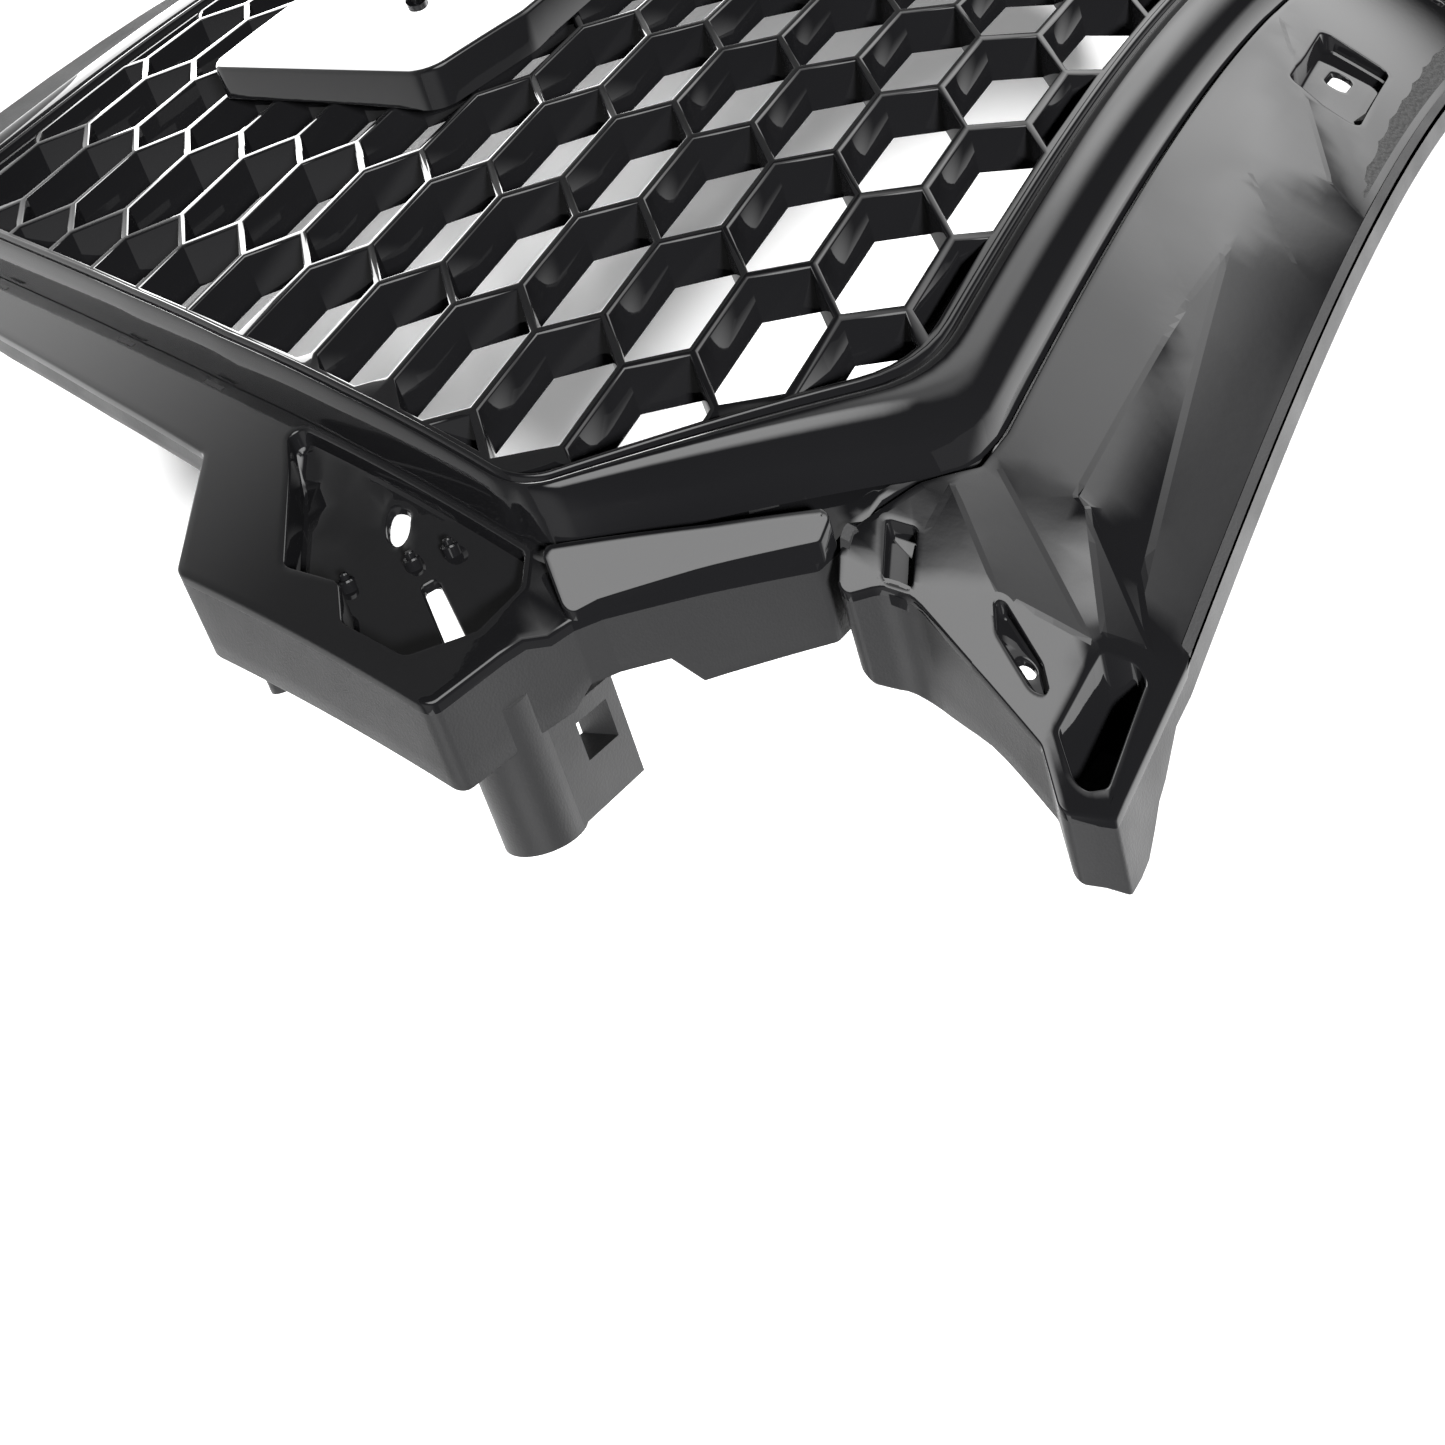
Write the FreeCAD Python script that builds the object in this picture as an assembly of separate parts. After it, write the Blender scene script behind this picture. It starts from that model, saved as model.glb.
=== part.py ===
import FreeCAD, Part
import math
import os
from FreeCAD import Vector

# Car front grille: honeycomb mesh in a gloss ring, on a moulded carrier with a faceted top panel.
# X runs across the car, +Z is up and the front faces -Y.  All sizes are millimetres.
# "Depth" always means the distance behind the swept front face of the mesh, measured along Y.

# ---- swept front face: y = f(x, z) ----
LEAN = 0.407              # lean back at mid height
LEAN_GROWTH = 1.07e-3     # lean grows towards the top
LEAN_CUBIC = 1.72e-6
SWEEP = 0.624e-3          # sweep back towards the ends
SWEEP_EASE = -0.747e-9
SWEEP_TWIST = 0.179e-6

# ---- origin: middle of the two slotted top tabs ----
TAB_X = 70.0
TAB_Z = 142.0
TAB_DEPTH = 30.0

# ---- opening of the ring, right half, from the top centre down: (x, z, corner radius) ----
OPENING = [(336.0, 98.0, 60.0), (434.5, 26.5, 15.0), (420.0, -90.0, 1500.0), (379.0, -283.0, 34.0)]

# ---- ring: outer edge, wide along the top and narrow down the sides ----
RING_EDGE = [(343.5, 116.0, 45.0), (440.0, 35.5, 16.0), (427.5, -90.0, 1500.0), (387.0, -302.0, 40.0)]
RING_PROUD = 4.0
SEAT_DEPTH = 14.0         # depth of the carrier face that the ring and mesh sit on
RING_LIP = 6.0
GAP = 0.2                 # clearance between pieces that sit on each other

# ---- honeycomb ----
CELL_PITCH = 50.0         # column to column
CELL_HEIGHT = 28.9
CELL_LONG = 34.5          # long, level edge of a cell
WALL = 3.0
MESH_DEPTH = 13.8
RIM_DEPTH = 8.4           # the mesh's rim starts this far back, under the ring
RIM_WIDTH = 5.4
MIN_CELL_AREA = 60.0

# ---- carrier ----
SKIN = 3.5
CARRIER_INNER = 3.0       # how far the carrier reaches in behind the mesh's rim
SKIRT_DEPTH = 41.0        # back edge of the outer walls
INNER_RIB_DEPTH = 30.0
POCKET_DEPTH = 24.0
POCKET_WALL = 2.5
EAR_HOLE_R = 4.0
EAR_HOLE = (444.0, -17.0)
EAR_SLOT = [(452.0, 0.0), (457.0, -2.0), (473.0, 19.0), (468.5, 23.0)]

# outer edge of the carrier, right half, from the bottom centre up
CARRIER_EDGE = [(396.0, -303.0), (421.0, -211.0), (438.0, -141.0), (451.0, -82.0), (493.0, -56.0),
                (497.0, 31.0), (473.0, 37.5), (451.3, 44.8)]
CARRIER_STRIP = [(343.0, 114.0), (359.0, 101.0), (384.0, 89.0), (410.4, 65.0), (429.0, 45.0), (439.7, 32.2)]
POCKET = [(432.5, -63.0), (449.0, -50.0), (477.0, -29.0), (474.0, -13.0), (486.0, -1.0),
          (486.0, 18.0), (470.0, 28.5), (452.0, 30.5), (443.0, 24.0)]
COVER_OUTER = [(452.3, 46.0), (445.0, 50.5), (423.0, 68.5), (396.0, 91.5)]
COVER_INNER = [(387.0, 90.5), (411.4, 66.2), (430.0, 46.1), (440.7, 33.4)]
COVER_WALL = [(394.2, 89.0), (421.0, 66.1), (442.8, 48.2), (450.2, 43.7)]
EAR_WALL_INNER = [(451.5, -77.5), (489.8, -53.8), (493.8, 27.2), (471.6, 33.8), (450.6, 42.6)]
PANEL_EDGE = [(404.0, 97.0), (391.0, 109.0), (400.0, 131.0), (408.0, 151.0), (420.0, 159.0),
              (412.0, 170.0), (361.0, 173.0)]

# ---- top panel ----
PANEL_SEAM = [(393.5, 93.5), (385.5, 92.5), (361.0, 104.0), (346.0, 115.5), (330.0, 117.5)]
END_WALL_INNER = [(408.8, 168.0), (414.6, 159.6), (405.6, 152.8), (397.2, 132.2), (387.6, 108.4),
                  (399.8, 96.8)]
TOP_WALL_INNER = [(361.0, 169.8), (411.0, 166.8)]
PANEL_DEPTH = 11.0
PANEL_SKIN = 3.0
PANEL_TOP_WALL = 24.0
PANEL_LOW = 117.5         # lower edge, just above the ring
SEAM_WALL = 21.0          # depth of the wall and flange along the seam
SEAM_HALF = 300.0
TIP_POCKET = [(374.0, 156.0), (364.0, 168.0), (406.0, 168.0), (413.0, 160.5), (402.0, 152.0)]
TIP_WALL_INNER = [(374.0, 156.0), (364.0, 168.0), (361.5, 167.0), (372.0, 153.5)]
TIP_WALL_LOW = [(372.0, 153.5), (402.0, 149.5), (402.0, 152.0), (374.0, 156.0)]
TIP_FLOOR = 34.0
CLIP_RECESS = [(372.0, 101.0), (384.0, 105.0), (378.0, 116.0), (366.0, 112.0)]
BOSS = (394.0, 140.0)
BOSS_R = 6.5
BOSS_HOLE_R = 3.2
TAB_WINDOW = (36.0, 124.0, 104.0, 160.0)

# ---- foam seal under the top panel ----
SEAL = (340.0, 161.0, 168.0)
SEAL_BACK = 23.0

# ---- lower beam ----
BEAM_TOP = -304.0
BEAM_BOTTOM = -348.0
BEAM_HALF = 372.0
BEAM_LIP = 24.0

# ---- plate base ----
PLATE_HALF = 297.0
PLATE_BOTTOM = -203.0
PLATE_TOP = -79.0
PLATE_CHAMFER = 44.0
PLATE_PROUD = 5.0         # in front of the mesh on the centre plane
PLATE_BEND = 0.45e-3
PLATE_LEAN = 0.207
PLATE_SKIN = 3.0
PLATE_HOLE_X = 215.0
PLATE_HOLE_R = 2.6
STANDOFF_X = (90.0, 240.0)
STANDOFF_R = 6.0
STANDOFF_PILOT_R = 2.0

# ---- blank badge: pad on the mesh, held by two clips through the cells ----
BADGE_HALF = (78.0, 31.0)
BADGE_Z = 28.9
BADGE_FRONT = -9.0
BADGE_CLIP_X = 50.0

# ---- brackets ----
LUG = (471.0, 26.0)
LUG_R = 12.5
LUG_END = 79.5            # depth of the lug's lower end
LUG_WING = (33.0, 32.0, 14.0)
TAB_PLATE = (44.0, 3.0, 30.0)
TAB_LEG = 26.0            # how far the tab's legs reach back
SENSOR = (300.0, -236.0)
SENSOR_FLANGE = (26.0, 20.0)
SENSOR_SLEEVE_R = 15.0
SENSOR_BORE_R = 12.0
SENSOR_PLUG_R = 11.7
SENSOR_CAP_R = 16.0
SENSOR_ARM = (21.0, 2.5, 12.0)
PIN = (484.0, -44.0)
PIN_R = 4.0
PIN_END = 54.0

# ---- ring clips ----
CLIP_WIDTH = 9.0
CLIP_THICK = 1.6
CLIP_NOSE = 2.8
CLIP_WINDOW = (11.0, 5.0)

# ---- fasteners ----
SCREW_R = 1.9
SCREW_HOLE_R = 2.1
SCREW_HEAD_R = 4.2
SCREW_HEAD = 2.6
TAB_SLOT_R = 3.5
TAB_SLOT_LENGTH = 13.0


def face_y(x, z):
    """Front face of the mesh."""
    lean = LEAN * z + LEAN_GROWTH * z ** 2 + LEAN_CUBIC * z ** 3
    sweep = SWEEP * x ** 2 + SWEEP_EASE * x ** 4 + SWEEP_TWIST * x ** 2 * z
    return lean + sweep


def plate_y(x, z):
    """Front face of the plate base: straight up and down, gently bent across."""
    middle = (PLATE_TOP + PLATE_BOTTOM) / 2
    return face_y(0, middle) - PLATE_PROUD + PLATE_LEAN * (z - middle) + PLATE_BEND * x ** 2


ORIGIN = Vector(0, face_y(TAB_X, TAB_Z) + TAB_DEPTH, TAB_Z)


# ---- helpers ----
def surface_shape(func, depth):
    """Smooth sheet over the whole part: y = func(x, z) + depth."""
    xs = [-540 + 90 * i for i in range(13)]
    zs = [-380 + 60 * j for j in range(11)]
    surface = Part.BSplineSurface()
    surface.interpolate([[Vector(x, func(x, z) + depth, z) for z in zs] for x in xs])
    return surface.toShape()


def layer(front, back, func=face_y):
    """Solid between two depths over the whole front."""
    return surface_shape(func, front).extrude(Vector(0, back - front, 0))


def wire(points):
    """Closed level-Y wire from (x, z) points."""
    corners = [Vector(x, -400, z) for x, z in points]
    return Part.makePolygon(corners + [corners[0]])


def round_corners(corners):
    """Closed wire from (x, z, radius) corners."""
    count = len(corners)
    edges = []
    starts = []
    ends = []
    for i, (x, z, radius) in enumerate(corners):
        here = Vector(x, -400, z)
        before = Vector(corners[i - 1][0], -400, corners[i - 1][1]) - here
        after = Vector(corners[(i + 1) % count][0], -400, corners[(i + 1) % count][1]) - here
        before.normalize()
        after.normalize()
        half = before.getAngle(after) / 2
        if radius <= 0 or half > math.pi / 2 - 1e-4:
            starts.append(here)
            ends.append(here)
            edges.append(None)
            continue
        tangent = radius / math.tan(half)
        first = here + before * tangent
        last = here + after * tangent
        bisector = before + after
        bisector.normalize()
        top = here + bisector * (radius / math.sin(half) - radius)
        starts.append(first)
        ends.append(last)
        edges.append(Part.Arc(first, top, last).toShape())
    result = []
    for i in range(count):
        if edges[i]:
            result.append(edges[i])
        nxt = starts[(i + 1) % count]
        if (nxt - ends[i]).Length > 1e-6:
            result.append(Part.makeLine(ends[i], nxt))
    return Part.Wire(result)


def mirrored(half):
    """Full outline from a right half given from top to bottom."""
    left = [(-corner[0],) + tuple(corner[1:]) for corner in reversed(half)]
    return list(half) + left


def moved_line(p, q, distance):
    """Line p-q moved to its left, which is outwards for an outline that runs clockwise."""
    dx = q[0] - p[0]
    dz = q[1] - p[1]
    length = math.hypot(dx, dz)
    nx = -dz / length
    nz = dx / length
    return (p[0] + nx * distance, p[1] + nz * distance), (q[0] + nx * distance, q[1] + nz * distance)


def crossing(a, b):
    """Crossing point of two lines."""
    (x1, z1), (x2, z2) = a
    (x3, z3), (x4, z4) = b
    bottom = (x1 - x2) * (z3 - z4) - (z1 - z2) * (x3 - x4)
    first = x1 * z2 - z1 * x2
    second = x3 * z4 - z3 * x4
    x = (first * (x3 - x4) - (x1 - x2) * second) / bottom
    z = (first * (z3 - z4) - (z1 - z2) * second) / bottom
    return x, z


def opening(grow=0.0):
    """Opening outline, moved outwards by grow."""
    points = [(0.0, OPENING[0][1])] + [c[:2] for c in OPENING] + [(0.0, OPENING[-1][1])]
    lines = [moved_line(points[i], points[i + 1], grow) for i in range(len(points) - 1)]
    half = []
    for i, corner in enumerate(OPENING):
        x, z = crossing(lines[i], lines[i + 1])
        half.append((x, z, max(2.0, corner[2] + grow)))
    return round_corners(mirrored(half))


def ring_outer():
    """Outer edge of the ring, with its corner radii."""
    return round_corners(mirrored(RING_EDGE))


def column(wires):
    """Endless column along Y over a plan outline with holes."""
    plan = Part.makeFace(wires if isinstance(wires, list) else [wires], "Part::FaceMakerBullseye")
    return plan.extrude(Vector(0, 900, 0))


def sheet(wires, front, back, func=face_y):
    """Moulded sheet: plan outline with holes, between two depths."""
    return column(wires).common(layer(front, back, func))


def post(x, z, radius, front, back):
    """Round post along Y between two depths at (x, z)."""
    start = Vector(x, face_y(x, z) + front, z)
    return Part.makeCylinder(radius, back - front, start, Vector(0, 1, 0))


def block(x1, z1, x2, z2, front, back):
    """Box between two depths, measured at the box's middle."""
    y = face_y((x1 + x2) / 2, (z1 + z2) / 2)
    return Part.makeBox(x2 - x1, back - front, z2 - z1, Vector(x1, y + front, z1))


def flipped(shape):
    """Mirror image of a shape, right to left."""
    return shape.mirror(Vector(0, 0, 0), Vector(1, 0, 0))


def both(shape):
    """The right-hand shape and its mirror image."""
    return [shape, flipped(shape)]


def solid(shape):
    """The one solid of a shape, cleaned."""
    shape = shape.removeSplitter()
    return max(shape.Solids, key=lambda s: s.Volume)


def save(name, shape):
    """Write one node, moved so that the origin is between the top tabs."""
    placed = shape.copy()
    placed.translate(ORIGIN * -1)
    placed.exportStep("parts/" + name + ".step")
    box = placed.BoundBox
    print("%-22s solids %d valid %s volume %.0f  y %.0f..%.0f" % (
        name, len(placed.Solids), placed.isValid(), placed.Volume, box.YMin, box.YMax))


# ---- honeycomb mesh ----
def cell_wire(x, z):
    """One stretched six-sided cell, shrunk by half a wall on each side."""
    half = CELL_LONG / 2
    point = CELL_PITCH - half
    slope = math.hypot(CELL_HEIGHT / 2, point - half) / (CELL_HEIGHT / 2)
    dz = CELL_HEIGHT / 2 - WALL / 2
    tip = point - WALL / 2 * slope
    flat = tip - dz * (point - half) / (CELL_HEIGHT / 2)
    corners = [(flat, dz), (tip, 0), (flat, -dz), (-flat, -dz), (-tip, 0), (-flat, dz)]
    return wire([(x + cx, z + cz) for cx, cz in corners])


def cell_centres():
    """Every cell whose centre may touch the opening; the middle column sits between two rows."""
    columns = int(OPENING[1][0] / CELL_PITCH) + 2
    for i in range(-columns, columns + 1):
        shift = CELL_HEIGHT / 2 if i % 2 == 0 else 0.0
        for j in range(-11, 6):
            yield i * CELL_PITCH, j * CELL_HEIGHT + shift


def mesh_insert():
    """Honeycomb with a solid rim that tucks under the ring."""
    window = Part.Face(opening(-2.6))
    holes = []
    for x, z in cell_centres():
        cell = Part.Face(cell_wire(x, z))
        reach = math.hypot(CELL_PITCH / 2, CELL_HEIGHT / 2)
        box = window.BoundBox
        if abs(x) > box.XMax + reach or z > box.ZMax + reach or z < box.ZMin - reach:
            continue
        cut = cell.common(window)
        for part in cut.Faces:
            if part.Area > MIN_CELL_AREA:
                holes.append(part.OuterWire)
    body = sheet([opening(RIM_WIDTH)] + holes, 0, MESH_DEPTH)
    step = sheet([opening(RIM_WIDTH + 4), opening(-0.4)], -3, RIM_DEPTH)
    body = body.cut(step)
    for x, z in rim_screw_places():
        body = body.cut(post(x, z, SCREW_R, RIM_DEPTH + 1, MESH_DEPTH + 3))
    for x, z in standoff_places():
        body = body.fuse(post(x, z, STANDOFF_R + 3, 0.5, MESH_DEPTH).common(layer(0, MESH_DEPTH)))
    for x, z in standoff_places():
        body = body.cut(post(x, z, STANDOFF_R + 0.2, -12, MESH_DEPTH + 12))
    return solid(body)


def rim_screw_places():
    """Screws through the carrier into the mesh's rim, level runs only."""
    middle = RIM_WIDTH / 2
    top = [(x, OPENING[0][1] + middle) for x in (-210, -70, 70, 210)]
    bottom = [(x, OPENING[-1][1] - middle) for x in (-270, -90, 90, 270)]
    return top + bottom


def standoff_places():
    """Where the plate base's posts go through the mesh."""
    middle = (PLATE_TOP + PLATE_BOTTOM) / 2
    return [(s * x, middle) for x in STANDOFF_X for s in (-1, 1)]


# ---- ring ----
def clip_places():
    """Snap clips behind the ring: (x, z, turn about Y in degrees)."""
    right = [(150, 110, 0), (290, 110, 0), (391, 70.7, 38), (417.5, 50.3, 38), (424.8, -100, 101),
             (414.8, -150, 101), (397.6, -235, 101), (180, -296, 0), (330, -296, 0)]
    return [(x, z, turn) for x, z, turn in right] + [(-x, z, -turn) for x, z, turn in right]


def turned_sheet(place, width, height, front, back):
    """Small rectangle centred on a clip place, turned with the ring's run, between two depths."""
    x, z, turn = place
    angle = math.radians(turn)
    corners = []
    for u, v in ((-1, -1), (1, -1), (1, 1), (-1, 1)):
        du = u * width / 2
        dv = v * height / 2
        across = du * math.cos(angle) + dv * math.sin(angle)
        up = dv * math.cos(angle) - du * math.sin(angle)
        corners.append((x + across, z + up))
    return sheet(wire(corners), front, back)


def ring_trim():
    """Gloss ring round the mesh, stepped so that its lip covers the mesh's rim."""
    band = sheet([ring_outer(), opening()], -RING_PROUD, RIM_DEPTH - GAP)
    lip = sheet([ring_outer(), opening(RING_LIP)], RIM_DEPTH - 1, SEAT_DEPTH - GAP)
    return solid(band.fuse(lip))


def ring_clips():
    """Snap tongues with a nose, through the carrier's windows."""
    clips = []
    for place in clip_places():
        tongue = turned_sheet(place, CLIP_WIDTH, CLIP_THICK, SEAT_DEPTH - GAP, SEAT_DEPTH + 12)
        nose = turned_sheet(place, CLIP_WIDTH, CLIP_NOSE, SEAT_DEPTH + 8.5, SEAT_DEPTH + 11)
        clips.append(solid(tongue.fuse(nose)))
    return Part.makeCompound(clips)


# ---- carrier ----
def carrier_outline():
    """Carrier plan: sides, ears and the strip that the ring sits on."""
    return wire(mirrored(CARRIER_STRIP + list(reversed(CARRIER_EDGE))))


def carrier_frame():
    """One moulding: seat for ring and mesh, side flanges, ears with pockets, outer walls."""
    seat = sheet([carrier_outline(), opening(-CARRIER_INNER)], SEAT_DEPTH, SEAT_DEPTH + SKIN)
    rib = sheet([opening(1.5), opening(-CARRIER_INNER)], SEAT_DEPTH, INNER_RIB_DEPTH)
    body = seat.fuse(rib)
    for side in both(ear_wall()):
        body = body.fuse(side)
    for cut, tray in zip(both(pocket_cut()), both(pocket_tray())):
        body = body.cut(cut).fuse(tray)
    tools = clip_windows()
    tools += [post(x, z, SCREW_HOLE_R, SEAT_DEPTH - 3, INNER_RIB_DEPTH + 3) for x, z in rim_screw_places()]
    tools += [post(x, z, SCREW_HOLE_R, SEAT_DEPTH - 3, SEAT_DEPTH + 8)
              for x, z in panel_screw_places() + beam_screw_places()]
    tools += both(lug_clearance())
    tools += both(post(EAR_HOLE[0], EAR_HOLE[1], EAR_HOLE_R, POCKET_DEPTH - 2, POCKET_DEPTH + 9))
    tools += both(ear_window())
    for tool in tools:
        body = body.cut(tool)
    return solid(body)


def clip_windows():
    """Windows that the ring's snap clips pass through."""
    width, height = CLIP_WINDOW
    return [turned_sheet(place, width, height, SEAT_DEPTH - 2, SEAT_DEPTH + 10) for place in clip_places()]


def lug_clearance():
    """Notch in the ear's wall for the hanging lug."""
    return post(LUG[0], LUG[1], LUG_R + 0.8, POCKET_DEPTH + SKIN + GAP, SKIRT_DEPTH + 5)


def ear_wall():
    """Outer wall round the ear, along CARRIER_EDGE's upper corners."""
    outer = CARRIER_EDGE[3:]
    return sheet(wire(outer + list(reversed(EAR_WALL_INNER))), SEAT_DEPTH, SKIRT_DEPTH)


def pocket_cut():
    """Space inside the ear's pocket."""
    return sheet(wire(POCKET), SEAT_DEPTH - 4, POCKET_DEPTH)


def pocket_tray():
    """Floor and walls of the ear's pocket."""
    count = len(POCKET)
    lines = [moved_line(POCKET[i], POCKET[(i + 1) % count], -POCKET_WALL) for i in range(count)]
    outer = [crossing(lines[i - 1], lines[i]) for i in range(count)]
    tray = sheet(wire(outer), SEAT_DEPTH, POCKET_DEPTH + SKIN)
    return tray.cut(pocket_cut())


def ear_window():
    """Slanted window through the pocket's floor."""
    return sheet(wire(EAR_SLOT), POCKET_DEPTH - 4, POCKET_DEPTH + SKIN + 3)


def corner_cover():
    """Gloss facet between ring and outer edge at the upper corner, with its outer wall."""
    top = sheet(wire(COVER_OUTER + COVER_INNER), SEAT_DEPTH - 1, SEAT_DEPTH + SKIN - 1)
    wall = sheet(wire(COVER_OUTER + COVER_WALL), SEAT_DEPTH + SKIN - 2, SKIRT_DEPTH)
    return solid(top.fuse(wall))


# ---- top panel ----
def panel_outline():
    """Plan of the top panel, round the upper edge of the ring."""
    return mirrored(list(reversed(PANEL_EDGE)) + PANEL_SEAM)


def top_panel():
    """Faceted wing over the ring: skin, outer walls, tip pockets, windows and clip recesses."""
    body = sheet(wire(panel_outline()), PANEL_DEPTH, PANEL_DEPTH + PANEL_SKIN)
    for wall in both(end_wall()) + [top_wall(), seam_flange()]:
        body = body.fuse(wall)
    for window in clip_windows():
        body = body.cut(window)
    for x, z in panel_screw_places():
        body = body.cut(post(x, z, SCREW_HOLE_R, SEAT_DEPTH, SEAM_WALL + 3))
    for side in (1, -1):
        pocket = [(side * x, z) for x, z in TIP_POCKET]
        body = body.cut(sheet(wire(pocket), PANEL_DEPTH - 4, PANEL_DEPTH + 10))
        floor = sheet(wire(pocket), TIP_FLOOR - 3, TIP_FLOOR)
        inner = [(side * x, z) for x, z in TIP_WALL_INNER]
        low = [(side * x, z) for x, z in TIP_WALL_LOW]
        body = body.fuse([floor, sheet(wire(inner), PANEL_DEPTH, TIP_FLOOR),
                          sheet(wire(low), PANEL_DEPTH, TIP_FLOOR)])
        x1, z1, x2, z2 = TAB_WINDOW
        left, right = sorted((side * x1, side * x2))
        body = body.cut(block(left, z1, right, z2, -30, 60))
        recess = [(side * x, z) for x, z in CLIP_RECESS]
        body = body.cut(sheet(wire(recess), PANEL_DEPTH - 4, PANEL_DEPTH + 8))
        boss = post(side * BOSS[0], BOSS[1], BOSS_R, PANEL_DEPTH - 2, TIP_FLOOR)
        body = body.fuse(boss).cut(post(side * BOSS[0], BOSS[1], BOSS_HOLE_R, PANEL_DEPTH - 6, TIP_FLOOR + 4))
    return solid(body)


def end_wall():
    """Outer wall of the panel's right end, from the corner cover to the tip."""
    return sheet(wire(PANEL_EDGE[:6] + END_WALL_INNER), PANEL_DEPTH, SKIRT_DEPTH)


def top_wall():
    """Shallow wall along the panel's upper edge."""
    upper = PANEL_EDGE[5:]
    left = [(-x, z) for x, z in reversed(TOP_WALL_INNER + upper)]
    return sheet(wire(upper + left + TOP_WALL_INNER), PANEL_DEPTH, PANEL_TOP_WALL)


def seam_flange():
    """Wall down the seam and a flange that lies behind the carrier's top strip."""
    wall = box_plan(SEAM_HALF, PANEL_LOW, PANEL_LOW + 2.5)
    flange = box_plan(SEAM_HALF, PANEL_LOW - 13, PANEL_LOW + 2.5)
    front = SEAT_DEPTH + SKIN + GAP
    return sheet(wire(wall), PANEL_DEPTH, SEAM_WALL).fuse(sheet(wire(flange), front, SEAM_WALL))


def box_plan(half_width, low, high):
    """Plan of a bar across the car."""
    return [(-half_width, low), (half_width, low), (half_width, high), (-half_width, high)]


def panel_screw_places():
    """Screws through the top panel's flange, behind the ring's top strip."""
    return [(x, PANEL_LOW - 8.5) for x in (-230, -90, 90, 230)]


def beam_screw_places():
    """Screws through the lower beam's tongue."""
    return [(x, BEAM_TOP + 6.5) for x in (-255, -110, 110, 255)]


def back_screws(places, front, seat):
    """Pan-head screws driven from behind: heads on the seat depth, tips at the front depth."""
    screws = []
    for x, z in places:
        shank = post(x, z, SCREW_R - 0.05, front, seat)
        head = post(x, z, SCREW_HEAD_R, seat + 0.9, seat + 0.9 + SCREW_HEAD)
        neck = post(x, z, SCREW_R - 0.05, seat, seat + 1.2)
        screws.append(solid(shank.fuse([neck, head])))
    return Part.makeCompound(screws)


def panel_screws():
    """Screws that hold the top panel's flange to the carrier."""
    return back_screws(panel_screw_places(), SEAT_DEPTH + 1, SEAM_WALL)


def beam_screws():
    """Screws that hold the lower beam's tongue to the carrier."""
    return back_screws(beam_screw_places(), SEAT_DEPTH + 1, SEAM_WALL)


def rim_screws():
    """Screws that hold the mesh's rim to the carrier."""
    return back_screws(rim_screw_places(), RIM_DEPTH + 2, INNER_RIB_DEPTH)


def seal_strip():
    """Foam strip glued under the top panel's rear edge."""
    half, low, high = SEAL
    return solid(sheet(wire(box_plan(half, low, high)), PANEL_DEPTH + PANEL_SKIN + GAP, SEAL_BACK))


# ---- lower beam ----
def lower_beam():
    """Stiff lip below the ring with a row of ribs and hook tabs."""
    plan = [(-BEAM_HALF, BEAM_TOP), (BEAM_HALF, BEAM_TOP), (BEAM_HALF - 14, BEAM_BOTTOM),
            (-BEAM_HALF + 14, BEAM_BOTTOM)]
    body = sheet(wire(plan), SEAT_DEPTH, SEAT_DEPTH + SKIN)
    lip = [(-BEAM_HALF + 13, BEAM_BOTTOM + 3), (BEAM_HALF - 13, BEAM_BOTTOM + 3),
           (BEAM_HALF - 14, BEAM_BOTTOM), (-BEAM_HALF + 14, BEAM_BOTTOM)]
    body = body.fuse(sheet(wire(lip), SEAT_DEPTH, BEAM_LIP + SEAT_DEPTH))
    for i in range(-8, 9):
        x = 42.0 * i
        rib = wire([(x - 1.2, BEAM_TOP - 1), (x + 1.2, BEAM_TOP - 1), (x + 1.2, BEAM_BOTTOM + 2),
                    (x - 1.2, BEAM_BOTTOM + 2)])
        body = body.fuse(sheet(rib, SEAT_DEPTH + SKIN - 1, SEAT_DEPTH + 16))
    tongue = box_plan(BEAM_HALF - 20, BEAM_TOP - 5, BEAM_TOP + 12)
    body = body.fuse(sheet(wire(tongue), SEAT_DEPTH + SKIN + GAP, SEAM_WALL))
    link = box_plan(BEAM_HALF - 20, BEAM_TOP - 5, BEAM_TOP - 0.5)
    body = body.fuse(sheet(wire(link), SEAT_DEPTH, SEAM_WALL))
    for x, z in beam_screw_places():
        body = body.cut(post(x, z, SCREW_HOLE_R, SEAT_DEPTH, SEAM_WALL + 3))
    for window in clip_windows():
        body = body.cut(window)
    return solid(body)


def lower_hooks():
    """Hooks on the lower beam's back that catch the bumper."""
    hooks = []
    for x in (-294, -147, 0, 147, 294):
        x = x + 21.0
        stem = block(x - 9, BEAM_BOTTOM + 12, x + 9, BEAM_BOTTOM + 15, SEAT_DEPTH + SKIN + 1.2, 44)
        nose = block(x - 9, BEAM_BOTTOM + 9, x + 9, BEAM_BOTTOM + 15, 40, 44)
        hooks.append(solid(stem.fuse(nose)))
    return Part.makeCompound(hooks)


# ---- plate base ----
def plate_outline(grow):
    """Plan of the plate base, upper corners cut off and rounded."""
    half_length = PLATE_HALF + grow
    top = PLATE_TOP + grow
    cut = PLATE_CHAMFER
    half = [(half_length - cut, top, 16.0), (half_length, top - cut * 0.28, 12.0),
            (half_length, PLATE_BOTTOM - grow, 6.0)]
    return round_corners(mirrored(half))


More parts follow.
